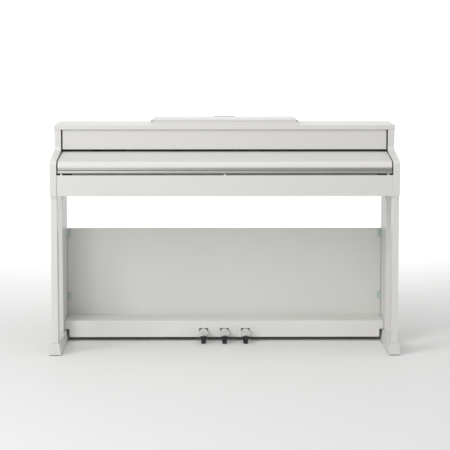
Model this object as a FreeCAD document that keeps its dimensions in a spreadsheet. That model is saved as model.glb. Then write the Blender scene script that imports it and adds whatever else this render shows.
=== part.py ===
import FreeCAD, Part
import math
import os
import re
import Sketcher

# Digital piano on a stand: a slim case with a sliding fallboard, a folding music rest,
# 88 keys, three pedals and a knock-down stand.
# Millimetres, +Z up. The player sits on the -Y side, the bass end is at -X.
# The origin is on the floor, in the middle of the overall box.

SIZES = {
    # overall case
    "case_width": 1400,
    "cheek_thick": 27,
    "case_front": -212,
    "case_rear": 219,
    "case_under": 647,
    "edge_round": 1.2,
    # side outline of a cheek: low arm in front, tall part behind
    "arm_front_height": 786.4,
    "arm_front_round": 14,
    "arm_rear": -10,
    "arm_rear_height": 818.2,
    "arm_rear_round": 16,
    # lid
    "lid_under": 899,
    "lid_thick": 19,
    "lid_front": -12,
    "lid_rear": 220,
    "lid_overhang": 2.5,
    # boards inside the case
    "bed_thick": 15,
    "slip_front": -209,
    "slip_thick": 19,
    "slip_top": 731,
    "back_front": 207,
    "back_thick": 9,
    "upper_half": 667,
    "upper_front": -4,
    "upper_thick": 12,
    "upper_under": 817,
    "bumper_radius": 4,
    "bumper_tall": 6.6,
    "bumper_reach": 654,
    "bumper_place": -203,
    # fallboard: a bent board that slides back and up into the case
    "fall_half": 668,
    "fall_front": -208,
    "fall_rear": 20,
    "fall_under": 762,
    "fall_corner": 784.7,
    "fall_thick": 8,
    "fall_slope": 5.9,
    "nose_round": 25,
    "slide_angle": 9,
    # metal handle strip under the nose
    "handle_under": 738,
    "handle_groove": -203,
    "handle_lip": -209.6,
    "handle_rear": -197.5,
    "handle_web": 752.5,
    "handle_brow": 749.6,
    "lip_low": 741,
    "lip_back": -207.4,
    # rails, racks and glide shoes; measured from the rear shoe along the slide
    "glide_y": 3,
    "glide_z": 782,
    "rail_ahead": 118,
    "rail_behind": 192,
    "rail_half": 7,
    "rail_inner": 668.5,
    "groove_half": 2.6,
    "groove_reach": 672.1,
    "shoe_spacing": 106,
    "shoe_half_long": 7,
    "shoe_half_tall": 2.3,
    "shoe_reach": 671.7,
    "plate_outer": 653,
    "plate_thick": 5,
    "flange_wide": 22,
    "flange_thick": 3,
    "tooth_module": 1.25,
    "tooth_count": 14,
    "tooth_addendum": 1.0,
    "tooth_dedendum": 1.45,
    "tooth_backlash": 0.4,
    "rack_inner": 668.6,
    "rack_wide": 4.4,
    "pinion_inner": 668.6,
    "pinion_wide": 4,
    "shaft_radius": 4,
    "shaft_clearance": 0.08,
    # music rest
    "rest_base_half": 307,
    "rest_base_front": -9,
    "rest_base_rear": 203,
    "rest_base_thick": 10,
    "rest_lip_thick": 3,
    "rest_lip_tall": 3,
    "rest_half": 298,
    "rest_front": 13,
    "rest_rear": 201,
    "rest_under": 929.6,
    "rest_thick": 10,
    "rest_pivot_y": 16.5,
    "rest_pivot_z": 933.5,
    "rest_pin": 1.5,
    "rest_pin_deep": 12,
    "ear_gap": 0.4,
    "rest_ear_thick": 4,
    "strip_half": 43,
    "strip_deep": 9,
    "strip_thick": 1.2,
    # wire stay under the music rest
    "stay_y": 77,
    "stay_z": 932.9,
    "stay_long": 80,
    "stay_half": 100,
    "stay_wire": 2.4,
    "stay_pin_long": 14,
    "pocket_half": 108,
    "pocket_deep": 7,
    "pocket_margin": 8,
    # keyboard
    "white_pitch": 23.5,
    "key_gap": 1.0,
    "white_top": 734,
    "key_tall": 20,
    "key_front": -185,
    "head_long": 50,
    "key_tail": 41,
    "black_top": 745.5,
    "black_slope": 4,
    "black_long": 100,
    "black_wide": 10.6,
    "low_group_slot": 14.1,
    "high_group_slot": 13.4286,
    "tail_gap": 1.2,
    "key_pivot_y": 28,
    "key_pivot_z": 724,
    "rod_radius": 2.5,
    "rod_clearance": 0.06,
    "keys_half": 611,
    # key frame, felts and sensor board
    "frame_half": 610,
    "frame_front": -182,
    "frame_rear": 44,
    "frame_skin": 3,
    "front_rail_deep": 25,
    "front_rail_top": 697,
    "sensor_rail_front": -107,
    "sensor_rail_deep": 50,
    "sensor_rail_top": 690,
    "rear_rail_front": 18,
    "rear_rail_top": 705,
    "felt_tall": 6.4,
    "rear_felt_tall": 8.5,
    "rear_felt_front": 32,
    "board_thick": 1.6,
    "lug_outer": 618,
    "lug_inner": 612.4,
    "lug_half": 8,
    "lug_top": 732,
    # key blocks and controls
    "block_inner": 613,
    "block_outer": 672.5,
    "block_front": -190,
    "block_rear": -35,
    "controls_x": 643,
    "power_y": -152,
    "power_radius": 7,
    "button_proud": 2,
    "button_tall": 8,
    "button_gap": 0.4,
    "slider_y": -137,
    "slider_travel": 15,
    "slider_half_wide": 7,
    "slider_half_long": 5,
    "function_y": -80,
    "function_half_wide": 9,
    "function_half_long": 5,
    # speakers
    "speaker_x": 430,
    "speaker_y": 123,
    "speaker_hole": 54,
    "speaker_rim": 60,
    "basket_top": 692,
    "magnet_radius": 34,
    "magnet_top": 712,
    "cone_rim": 46,
    "cone_neck": 15,
    "grille_thick": 2,
    "grille_bar": 4,
    # electronics
    "jack_left": -560,
    "jack_right": -420,
    "jack_height": 692,
    "jack_plate_thick": 2,
    "jack_radius": 3.25,
    "inlet_radius": 2.8,
    "socket_deep": 16,
    "socket_wall": 2.6,
    # stand
    "leg_outer": 698,
    "leg_inner": 672.5,
    "leg_front": -207,
    "leg_deep": 57,
    "side_front": 9,
    "foot_tall": 48,
    "foot_front": -220,
    "foot_rear": 220,
    "foot_middle": 685.25,
    "foot_top_half": 18.5,
    "foot_low_half": 24.75,
    "foot_round": 2,
    "glide_tall": 3,
    "glide_radius": 12,
    "glide_inset": 30,
    "stand_half": 671.5,
    "back_board_front": 203,
    "back_board_thick": 15,
    "back_board_top": 459.5,
    "back_board_under": 5,
    "bracket_wide": 16,
    "bracket_deep": 15,
    "bracket_wall": 3,
    # pedal box
    "box_front": 64,
    "box_under": 16.5,
    "box_top": 86.3,
    "box_wall": 15,
    "box_lid": 12,
    "notch_half": 653,
    "notch_top": 51,
    "slot_half": 18.4,
    "slot_low": 30,
    "slot_high": 54.6,
    # pedals
    "pedal_spacing": 88.1,
    "pedal_tip": 2,
    "pedal_axle_y": 185,
    "pedal_axle_z": 47,
    "axle_radius": 4,
    "axle_half": 136,
    "pedal_neck_half": 12,
    "pedal_head_half": 20.5,
    "ear_thick": 3,
    "mount_half": 140,
    "mount_front": 140,
    "mount_rear": 196,
    "rest_top_radius": 12.6,
    "rest_foot_radius": 9,
    "rest_height": 28,
    "rest_cap_radius": 18,
    "rest_cap_thick": 4.5,
    "rest_place": 11.5,
    "ear_half": 9,
    "spring_wall": 3,
    "spring_long": 14,
    "spring_gap": 3,
    "axle_slip": 0.02,
    # pedal lever: depths are measured back from its tip, heights from the floor
    "lever_half": 7,
    "lever_tail": 8,
    "lever_front_half": 3,
    "lever_belly": 14,
    "neck_back": 60,
    "spoon_back": 34,
    "spoon_shoulder": 36,
    "spoon_widest": 18,
    "spoon_round": 9,
    "spoon_middle": 12,
    "spoon_near": 3,
    "top_back": 50,
    "top_middle": 44,
    "top_near": 42,
    "tip_top": 39.5,
    "tip_low": 37,
    "low_near": 35.2,
    "low_middle": 35.6,
    "low_back": 41,
    # speaker baskets and cones
    "rim_thick": 3,
    "basket_rim_wall": 6,
    "basket_neck_wall": 13,
    "hollow_rim_wall": 4,
    "hollow_neck_wall": 8,
    "basket_roof": 3,
    "magnet_lap": 0.5,
    "hollow_lap": 0.1,
    "cone_deep": 22,
    "cone_wall": 1.4,
    "surround_deep": 1.5,
    "surround_gap": 0.5,
    "grille_lap": 4,
    "grille_edge": 6,
    # circuit boards
    "post_tall": 6,
    "post_lap": 0.2,
    "post_radius": 3,
    "post_inset": 6,
    "main_left": -150,
    "main_right": 90,
    "boards_rear": 180,
    "main_front": 80,
    "power_left": 150,
    "power_right": 280,
    "power_front": 90,
    "chip_wide": 26,
    "chip_rise": 11,
    "can_radius": 8,
    "can_tall": 24,
    "part_rise": 7,
    "coil_left": 225,
    "coil_front": 110,
    "coil_wide": 40,
    "coil_rise": 36,
    # sockets in the jack panel
    "jack_lap": 5,
    "jack_inset": 25,
    "jack_pitch": 45,
    "socket_floor": 3,
    # brackets and screws
    "stand_bracket_tall": 42,
    "stand_bracket_deep": 24,
    "bracket_front_gap": 3,
    "bracket_rear_gap": 60,
    "corner_tall": 38,
    "corner_low": 155,
    "corner_low_tall": 30,
    "tab_front": 76,
    "tab_step": 40,
    "tab_wide": 13,
    "tab_deep": 11,
    "tab_thick": 2,
    "tab_tall": 7,
    "screw_radius": 3.2,
    "screw_head": 1.6,
    "screw_head_deep": 1.8,
    "screw_first": -600,
    "screw_step": 240,
    "screw_inset": 8,
    "screw_low": 30,
    "screw_high": 16,
    "screw_front": 15,
    "screw_rear": 48,
    # fallboard side plates
    "plate_front": 15,
    "plate_rear": 4,
    "plate_drop": 13,
    "plate_heel": 12,
    "plate_hollow": 16,
    "plate_rise": 6,
    "plate_toe": 10,
    "toe_drop": 26,
    "toe_front_drop": 27,
    # wells and slots for the controls
    "well_floor": 2,
    "slit_half": 1.5,
    "slit_end": 3,
    "button_edge": 0.6,
    "slider_gap": 0.3,
    "slider_tall": 4,
    "blade_half": 1,
    "blade_half_long": 2.5,
    "blade_deep": 8,
    # gear teeth, and how far a cut passes the face it starts from
    "pressure_angle": 20,
    "overrun": 1,
}

doc = FreeCAD.newDocument("digital_piano")
dim = doc.addObject("Spreadsheet::Sheet", "dim")
for row, (name, value) in enumerate(SIZES.items(), start=1):
    dim.set("A%d" % row, name)
    dim.set("B%d" % row, str(value))
    dim.setAlias("B%d" % row, name)
doc.recompute()

Vector = FreeCAD.Vector
nodes = []


def formula(text):
    """Writes a formula of size names as an expression on the sheet."""
    return re.sub(r"[a-z_]+", lambda word: "dim." + word[0] if word[0] in SIZES else word[0], str(text))


def number(text):
    """The present value of a formula."""
    return float(dim.evalExpression(formula(text)))


def bind(item, prop, text):
    item.setExpression(prop, formula(text))


def keep(item, label):
    """Marks a finished sub-part: its label is its node's name."""
    item.Label = label
    nodes.append(item)
    return item


def place(item, x=None, y=None, z=None, tilt=None):
    """Binds an item's position, and its tilt about X, to the sheet."""
    if tilt is not None:
        item.Placement = FreeCAD.Placement(Vector(0, 0, 0), FreeCAD.Rotation(Vector(1, 0, 0), number(tilt)))
        bind(item, "Placement.Rotation.Angle", tilt)
    for axis, text in (("x", x), ("y", y), ("z", z)):
        if text is not None:
            bind(item, "Placement.Base." + axis, text)


def span(item, x, y, z):
    """Sizes a box by its low and high bound on each axis."""
    for prop, (low, high) in (("Length", x), ("Width", y), ("Height", z)):
        bind(item, prop, "(%s) - (%s)" % (high, low))


def block(name, x, y, z):
    """A plain block between two bounds on each axis."""
    item = doc.addObject("Part::Box", name)
    span(item, x, y, z)
    place(item, x[0], y[0], z[0])
    return item


def board(name, x, y, z, rounding="edge_round"):
    """A board with all its edges rounded."""
    body = doc.addObject("PartDesign::Body", name)
    core = body.newObject("PartDesign::AdditiveBox", name + "_core")
    span(core, x, y, z)
    doc.recompute()
    round_edges(body, core, rounding)
    place(body, x[0], y[0], z[0])
    return body


def round_edges(body, base, rounding, edges=None):
    """Rounds the named edges of a feature, or all of them."""
    fillet = body.newObject("PartDesign::Fillet", base.Name + "_round")
    fillet.Base = (base, edges or ["Edge1"])
    fillet.UseAllEdges = edges is None
    bind(fillet, "Radius", rounding)
    body.Tip = fillet
    doc.recompute()
    return fillet


def edges_at(feature, test):
    """Names of the feature's edges whose middle point passes a test."""
    found = []
    for index, edge in enumerate(feature.Shape.Edges, start=1):
        if test(edge.CenterOfMass, edge):
            found.append("Edge%d" % index)
    return found


def sketch_on(body, role, name, points):
    """A closed outline through points, each coordinate bound to the sheet."""
    plane = [part for part in body.Origin.OriginFeatures if part.Role == role][0]
    sketch = body.newObject("Sketcher::SketchObject", name)
    sketch.AttachmentSupport = [(plane, "")]
    sketch.MapMode = "FlatFace"
    values = [(number(u), number(v)) for u, v in points]
    count = len(points)
    for index in range(count):
        start = Vector(*values[index], 0)
        end = Vector(*values[(index + 1) % count], 0)
        sketch.addGeometry(Part.LineSegment(start, end), False)
    for index in range(count):
        sketch.addConstraint(Sketcher.Constraint("Coincident", index, 2, (index + 1) % count, 1))
        for axis, kind in enumerate(("DistanceX", "DistanceY")):
            rule = Sketcher.Constraint(kind, -1, 1, index, 1, values[index][axis])
            bind(sketch, "Constraints[%d]" % sketch.addConstraint(rule), points[index][axis])
    return sketch


def pad(body, sketch, length, middle=False, back=False):
    """Extrudes an outline along its plane's normal, or both ways."""
    item = body.newObject("PartDesign::Pad", sketch.Name + "_pad")
    item.Profile = sketch
    item.Midplane = middle
    item.Reversed = back
    bind(item, "Length", length)
    body.Tip = item
    doc.recompute()
    return item


def rod(name, radius, start, length, along="x"):
    """A round bar from a start point along an axis."""
    turns = {"x": FreeCAD.Rotation(Vector(0, 1, 0), 90), "y": FreeCAD.Rotation(Vector(1, 0, 0), -90),
             "z": FreeCAD.Rotation()}
    item = doc.addObject("Part::Cylinder", name)
    bind(item, "Radius", radius)
    bind(item, "Height", length)
    item.Placement = FreeCAD.Placement(Vector(0, 0, 0), turns[along])
    place(item, *start)
    return item


def cone(name, low_radius, high_radius, start, height):
    item = doc.addObject("Part::Cone", name)
    bind(item, "Radius1", low_radius)
    bind(item, "Radius2", high_radius)
    bind(item, "Height", height)
    place(item, *start)
    return item


def join(name, items):
    """Fuses overlapping pieces into one."""
    item = doc.addObject("Part::MultiFuse", name)
    item.Shapes = items
    item.Refine = True
    return item


def cut(name, base, tools):
    item = doc.addObject("Part::Cut", name)
    item.Base = base
    item.Tool = tools[0] if len(tools) == 1 else join(name + "_tools", tools)
    return item


def group(name, items):
    """Separate solids of one kind, kept together as one node."""
    item = doc.addObject("Part::Compound", name)
    item.Links = items
    return item


SIDES = (("left", -1), ("right", 1))


def side_bounds(side, inner, outer):
    """Low and high X bound of a piece that is mirrored about the middle."""
    if side < 0:
        return "-(%s)" % outer, "-(%s)" % inner
    return inner, outer


# ---- case ----

def cheek(label, side):
    """End panel with its low front arm."""
    body = doc.addObject("PartDesign::Body", label)
    points = [("case_front", "case_under"), ("case_front", "arm_front_height"), ("arm_rear", "arm_rear_height"),
              ("arm_rear", "lid_under"), ("case_rear", "lid_under"), ("case_rear", "case_under")]
    core = pad(body, sketch_on(body, "YZ_Plane", label + "_outline", points), "cheek_thick")
    front = (number("case_front"), number("arm_front_height"))
    rear = (number("arm_rear"), number("arm_rear_height"))
    for corner, rounding in ((front, "arm_front_round"), (rear, "arm_rear_round")):
        names = edges_at(core, lambda mid, edge: abs(mid.y - corner[0]) + abs(mid.z - corner[1]) < 0.01)
        core = round_edges(body, core, rounding, names)
    faces = [face for face in core.Shape.Faces if abs(abs(face.normalAt(0, 0).x) - 1) < 1e-6]
    rims = [edge for face in faces for edge in face.Edges]
    names = edges_at(core, lambda mid, edge: any(edge.isSame(rim) for rim in rims))
    round_edges(body, core, "edge_round", names)
    place(body, x="-case_width / 2" if side < 0 else "case_width / 2 - cheek_thick")
    return keep(body, label)


def case_boards():
    inner = "case_width / 2 - cheek_thick"
    across = ("-(%s)" % inner, inner)
    for label, side in (("left_cheek", -1), ("right_cheek", 1)):
        cheek(label, side)
    lid_x = ("-case_width / 2 - lid_overhang", "case_width / 2 + lid_overhang")
    keep(board("lid", lid_x, ("lid_front", "lid_rear"), ("lid_under", "lid_under + lid_thick"), "1.5 * edge_round"),
         "lid")
    slip_rear = "slip_front + slip_thick"
    keep(board("key_slip", across, ("slip_front", slip_rear), ("case_under", "slip_top")), "key_slip")
    upper = board("upper_panel", ("-upper_half", "upper_half"), ("upper_front", "upper_front + upper_thick"),
                  ("upper_under", "lid_under"))
    keep(upper, "upper_panel")
    bed = block("bed_board", across, (slip_rear, "back_front"), ("case_under", "case_under + bed_thick"))
    holes = [rod("bed_hole_" + name, "speaker_hole", ("%d * speaker_x" % side, "speaker_y", "case_under - 1"),
                 "bed_thick + 2", "z") for name, side in SIDES]
    keep(cut("key_bed", bed, holes), "key_bed")
    back = [block("case_back_" + name, x, ("back_front", "back_front + back_thick"), ("case_under", "lid_under"))
            for name, x in (("bass", ("-(%s)" % inner, "jack_left")), ("treble", ("jack_right", inner)))]
    keep(group("case_back", back), "case_back")
    bumpers = [rod("bumper_" + name, "bumper_radius", ("%d * bumper_reach" % side, "bumper_place", "slip_top"),
                   "bumper_tall", "z") for name, side in SIDES + (("middle", 0),)]
    keep(group("slip_bumpers", bumpers), "slip_bumpers")


# ---- fallboard and its slide ----

FALL_INNER_CORNER = "fall_corner + fall_thick * tan(fall_slope) - fall_thick / cos(fall_slope)"


def fall_underside(y):
    """Height of the fallboard's underside at a given y."""
    return "fall_corner + ((%s) - fall_front) * tan(fall_slope) - fall_thick / cos(fall_slope)" % y


def fallboard():
    """Bent board: a short upright nose, then a long shallow slope."""
    body = doc.addObject("PartDesign::Body", "fallboard")
    points = [("fall_front", "fall_under"), ("fall_front", "fall_corner"),
              ("fall_rear", "fall_corner + (fall_rear - fall_front) * tan(fall_slope)"),
              ("fall_rear", fall_underside("fall_rear")),
              ("fall_front + fall_thick", FALL_INNER_CORNER), ("fall_front + fall_thick", "fall_under")]
    core = pad(body, sketch_on(body, "YZ_Plane", "fallboard_outline", points), "2 * fall_half", middle=True)
    outer = (number("fall_front"), number("fall_corner"))
    inner = (number("fall_front + fall_thick"), number(FALL_INNER_CORNER))
    for corner, rounding in ((outer, "nose_round"), (inner, "nose_round - fall_thick")):
        names = edges_at(core, lambda mid, edge: abs(mid.y - corner[0]) + abs(mid.z - corner[1]) < 0.01)
        core = round_edges(body, core, rounding, names)
    keep(body, "fallboard")


def handle_strip():
    """Metal extrusion under the nose: a shadowed finger groove above a forward lip."""
    body = doc.addObject("PartDesign::Body", "fallboard_handle")
    points = [("handle_rear", "fall_under"), ("handle_groove", "fall_under"), ("handle_groove", "handle_web"),
              ("handle_lip", "handle_brow"), ("handle_lip - 0.4", "lip_low"), ("lip_back", "handle_under"),
              ("handle_rear", "handle_under")]
    pad(body, sketch_on(body, "YZ_Plane", "handle_outline", points), "2 * fall_half", middle=True)
    keep(body, "fallboard_handle")


def along_slide(distance, rise="0"):
    """A point measured from the rear glide, along the slide and square to it."""
    y = "glide_y + (%s) * cos(slide_angle) - (%s) * sin(slide_angle)" % (distance, rise)
    z = "glide_z + (%s) * sin(slide_angle) + (%s) * cos(slide_angle)" % (distance, rise)
    return y, z


PITCH_RADIUS = "tooth_module * tooth_count / 2"
SHAFT_DROP = "-(rail_half + tooth_dedendum + %s)" % PITCH_RADIUS


def slide_box(name, x, along, rise):
    """A block square to the slide direction."""
    item = doc.addObject("Part::Box", name)
    span(item, x, along, rise)
    y, z = along_slide(along[0], rise[0])
    place(item, x[0], y, z, tilt="slide_angle")
    return item


def rack_teeth(name, inner, outer):
    """Straight teeth under a rail, as one comb-shaped bar."""
    pitch = math.pi * number("tooth_module")
    half = pitch / 4 - number("tooth_backlash") / 4
    lean = math.tan(math.radians(number("pressure_angle")))
    root = -number("rail_half")
    tip = root - number("tooth_dedendum + tooth_addendum")
    half_root = half + number("tooth_dedendum") * lean
    half_tip = half - number("tooth_addendum") * lean
    first = -2
    last = int(number("rail_behind - shoe_half_long") / pitch)
    points = []
    for index in range(first, last):
        centre = (index + 0.5) * pitch
        points += [(centre - half_root, root), (centre - half_tip, tip), (centre + half_tip, tip),
                   (centre + half_root, root)]
    points += [(points[-1][0], root + 1), (points[0][0], root + 1), points[0]]
    wire = Part.makePolygon([Vector(0, u, w) for u, w in points])
    item = doc.addObject("Part::Feature", name)
    item.Shape = Part.Face(wire).extrude(Vector(outer - inner, 0, 0))
    item.Placement = FreeCAD.Placement(Vector(inner, 0, 0), FreeCAD.Rotation(Vector(1, 0, 0), number("slide_angle")))
    place(item, y="glide_y", z="glide_z")
    return item


def rails():
    """Grooved rail on each cheek, with a rack along its underside."""
    pair = []
    for name, side in SIDES:
        outer = "case_width / 2 - cheek_thick"
        reach = ("-rail_ahead", "rail_behind")
        bar = slide_box("rail_bar_" + name, side_bounds(side, "rail_inner", outer), reach,
                        ("-rail_half", "rail_half"))
        groove = slide_box("rail_groove_" + name, side_bounds(side, "rail_inner - 1", "groove_reach"),
                           ("3 - rail_ahead", "rail_behind - 3"), ("-groove_half", "groove_half"))
        low = number("rack_inner") if side > 0 else -number("rack_inner + rack_wide")
        teeth = rack_teeth("rack_" + name, low, low + number("rack_wide"))
        pair.append(join("rail_" + name, [cut("rail_cut_" + name, bar, [groove]), teeth]))
    keep(group("fallboard_rails", pair), "fallboard_rails")


def involute_tooth_flank(radius, base_radius, half_angle_at_base):
    """A point on the flank at a radius: its angle from the tooth's centre line."""
    if radius <= base_radius:
        return half_angle_at_base
    roll = math.sqrt((radius / base_radius) ** 2 - 1)
    return half_angle_at_base - (roll - math.atan(roll))


def pinion(name, start_x, y, z):
    """Spur gear whose first tooth points up into the rack."""
    count = int(number("tooth_count"))
    pitch_radius = number(PITCH_RADIUS)
    base_radius = pitch_radius * math.cos(math.radians(number("pressure_angle")))
    half_pitch = (math.pi / 2 - number("tooth_backlash") / (2 * number("tooth_module"))) / count
    roll = math.sqrt((pitch_radius / base_radius) ** 2 - 1)
    half_base = half_pitch + roll - math.atan(roll)
    root = pitch_radius - number("tooth_dedendum")
    tip = pitch_radius + number("tooth_addendum")
    steps = [root] + [base_radius + (tip - base_radius) * step / 4 for step in range(5)]
    points = []
    for tooth in range(count):
        centre = math.pi / 2 + 2 * math.pi * tooth / count
        flank = [(radius, involute_tooth_flank(radius, base_radius, half_base)) for radius in steps]
        turns = [(radius, centre - turn) for radius, turn in flank]
        turns += [(radius, centre + turn) for radius, turn in reversed(flank)]
        points += [Vector(0, radius * math.cos(turn), radius * math.sin(turn)) for radius, turn in turns]
    wire = Part.makePolygon(points + [points[0]])
    item = doc.addObject("Part::Feature", name)
    item.Shape = Part.Face(wire).extrude(Vector(number("pinion_wide"), 0, 0))
    item.Placement = FreeCAD.Placement(Vector(start_x, 0, 0), FreeCAD.Rotation(Vector(1, 0, 0), number("slide_angle")))
    place(item, y=y, z=z)
    return item


def synchro_shaft():
    """Cross shaft that keeps both ends of the fallboard level."""
    y, z = along_slide("0", SHAFT_DROP)
    bar = rod("synchro_bar", "shaft_radius", ("-pinion_inner - overrun", y, z),
              "2 * pinion_inner + 2 * overrun")
    gears = [pinion("pinion_right", number("pinion_inner"), y, z),
             pinion("pinion_left", -number("pinion_inner + pinion_wide"), y, z)]
    keep(join("synchro_shaft", [bar] + gears), "synchro_shaft")


def fallboard_brackets():
    """Side plates under the fallboard that carry the shoes and the cross shaft."""
    pair = []
    front = "glide_y - shoe_spacing - plate_front"
    rear = "fall_rear - plate_rear"
    y, z = along_slide("0", SHAFT_DROP)
    for name, side in SIDES:
        plate = doc.addObject("PartDesign::Body", "plate_" + name)
        low = "(%s) - plate_drop" % z
        points = [(front, fall_underside(front)), (rear, fall_underside(rear)), (rear, low),
                  ("(%s) - plate_heel" % y, low), ("(%s) - plate_hollow" % y, "(%s) + plate_rise" % z),
                  ("glide_y - shoe_spacing + plate_toe", "glide_z - toe_drop"), (front, "glide_z - toe_front_drop")]
        pad(plate, sketch_on(plate, "YZ_Plane", "plate_outline_" + name, points), "plate_thick")
        place(plate, x="plate_outer - plate_thick" if side > 0 else "-plate_outer")
        flange = doc.addObject("PartDesign::Body", "flange_" + name)
        points = [(front, fall_underside(front)), (rear, fall_underside(rear)),
                  (rear, "(%s) - flange_thick" % fall_underside(rear)),
                  (front, "(%s) - flange_thick" % fall_underside(front))]
        pad(flange, sketch_on(flange, "YZ_Plane", "flange_outline_" + name, points), "flange_wide")
        place(flange, x="plate_outer - flange_wide" if side > 0 else "-plate_outer")
        hole = rod("shaft_hole_" + name, "shaft_radius + shaft_clearance",
                   ("plate_outer - plate_thick - overrun" if side > 0 else "-plate_outer - overrun", y, z),
                   "plate_thick + 2 * overrun")
        pair.append(cut("bracket_" + name, join("bracket_blank_" + name, [plate, flange]), [hole]))
    keep(group("fallboard_brackets", pair), "fallboard_brackets")


def glide_shoes():
    """Nylon shoes that run in the rail grooves."""
    shoes = []
    for name, side in SIDES:
        for place_name, along in (("front", "-shoe_spacing"), ("rear", "0")):
            bounds = ("(%s) - shoe_half_long" % along, "(%s) + shoe_half_long" % along)
            shoes.append(slide_box("shoe_%s_%s" % (place_name, name), side_bounds(side, "plate_outer", "shoe_reach"),
                                   bounds, ("-shoe_half_tall", "shoe_half_tall")))
    keep(group("glide_shoes", shoes), "glide_shoes")


# ---- music rest ----

def music_rest():
    lid_top = "lid_under + lid_thick"
    base_x = ("-rest_base_half", "rest_base_half")
    slab = block("rest_slab", base_x, ("rest_base_front", "rest_base_rear"), (lid_top, lid_top + " + rest_base_thick"))
    lip = block("rest_lip", base_x, ("rest_base_front", "rest_base_front + rest_lip_thick"),
                (lid_top, lid_top + " + rest_base_thick + rest_lip_tall"))
    keep(join("music_rest_base", [slab, lip]), "music_rest_base")

    plate = board("rest_plate", ("-rest_half", "rest_half"), ("rest_front", "rest_rear"),
                  ("rest_under", "rest_under + rest_thick"))
    pocket = block("rest_pocket", ("-pocket_half", "pocket_half"),
                   ("stay_y - pocket_margin", "stay_y + stay_long + pocket_margin"),
                   ("rest_under - 1", "rest_under + pocket_deep"))
    pins = rod("stay_pin_holes", "stay_wire + rod_clearance", ("-stay_half - stay_pin_long - 1", "stay_y", "stay_z"),
               "2 * (stay_half + stay_pin_long + 1)")
    hinges, bores = [], []
    for name, side in SIDES:
        ear_x = side_bounds(side, "rest_half + ear_gap", "rest_half + ear_gap + rest_ear_thick")
        pin_start = "rest_half - rest_pin_deep" if side > 0 else ear_x[0]
        ear = block("rest_ear_" + name, ear_x, ("rest_pivot_y - 4", "rest_pivot_y + 4"),
                    (lid_top + " + rest_base_thick", "rest_pivot_z + 3.2"))
        pin = rod("rest_pin_" + name, "rest_pin", (pin_start, "rest_pivot_y", "rest_pivot_z"),
                  "rest_pin_deep + ear_gap + rest_ear_thick")
        bores.append(rod("rest_bore_" + name, "rest_pin + rod_clearance",
                         ("rest_half - rest_pin_deep - 1" if side > 0 else "-rest_half - 1", "rest_pivot_y",
                          "rest_pivot_z"), "rest_pin_deep + 2"))
        hinges.append(join("rest_hinge_" + name, [ear, pin]))
    keep(cut("music_rest_plate", plate, [pocket, pins] + bores), "music_rest_plate")
    keep(group("music_rest_hinges", hinges), "music_rest_hinges")

    strip = block("finger_strip", ("-strip_half", "strip_half"), ("rest_rear - strip_deep", "rest_rear + 2"),
                  ("rest_under + rest_thick", "rest_under + rest_thick + strip_thick"))
    tab = block("finger_tab", ("-strip_half", "strip_half"), ("rest_rear", "rest_rear + 2"),
                ("rest_under + 1", "rest_under + rest_thick + strip_thick"))
    keep(join("music_rest_finger_strip", [strip, tab]), "music_rest_finger_strip")

    wires = []
    for name, side in SIDES:
        wires.append(rod("stay_leg_" + name, "stay_wire", ("%d * stay_half" % side, "stay_y", "stay_z"), "stay_long",
                         "y"))
        start = "stay_half" if side > 0 else "-stay_half - stay_pin_long"
        wires.append(rod("stay_pin_" + name, "stay_wire", (start, "stay_y", "stay_z"), "stay_pin_long"))
        for end in ("0", "stay_long"):
            ball = doc.addObject("Part::Sphere", "stay_corner_%s" % name)
            bind(ball, "Radius", "stay_wire")
            place(ball, "%d * stay_half" % side, "stay_y + " + end, "stay_z")
            wires.append(ball)
    wires.append(rod("stay_foot", "stay_wire", ("-stay_half", "stay_y + stay_long", "stay_z"), "2 * stay_half"))
    keep(join("music_rest_stay", wires), "music_rest_stay")


# ---- keyboard ----

OCTAVE = "7 * white_pitch"
FIRST_C = "2 * white_pitch - keys_half"
KEY_UNDER = "white_top - key_tall"
# Natural notes: name, place in the octave, first tail slot and last tail slot of their black-key group.
NATURALS = (("c", 0, 0), ("d", 1, 2), ("e", 2, 4), ("f", 3, 0), ("g", 4, 2), ("a", 5, 4), ("b", 6, 6))
SHARPS = (("c_sharp", 0, 1), ("d_sharp", 0, 3), ("f_sharp", 3, 1), ("g_sharp", 3, 3), ("a_sharp", 3, 5))


def slot_edge(group_start, slot):
    """Left edge of a tail slot, counted within its group of black keys."""
    width = "low_group_slot" if group_start == 0 else "high_group_slot"
    return "%s + %d * white_pitch + %d * %s" % (FIRST_C, group_start, slot, width)


def repeat(body, feature, count):
    """Repeats a key once an octave."""
    row = body.newObject("PartDesign::LinearPattern", body.Name + "_octaves")
    row.Originals = [feature]
    plane = [part for part in body.Origin.OriginFeatures if part.Role == "X_Axis"][0]
    row.Direction = (plane, [""])
    row.Occurrences = count
    bind(row, "Length", "%d * %s" % (count - 1, OCTAVE))
    body.Tip = row
    doc.recompute()
    return row


def white_outline(left, right, tail_left, tail_right):
    """Top view of a white key: a full-width head and a narrower tail."""
    shoulder = "key_front + head_long"
    return [(left, "key_front"), (right, "key_front"), (right, shoulder), (tail_right, shoulder),
            (tail_right, "key_tail"), (tail_left, "key_tail"), (tail_left, shoulder), (left, shoulder)]


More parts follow.
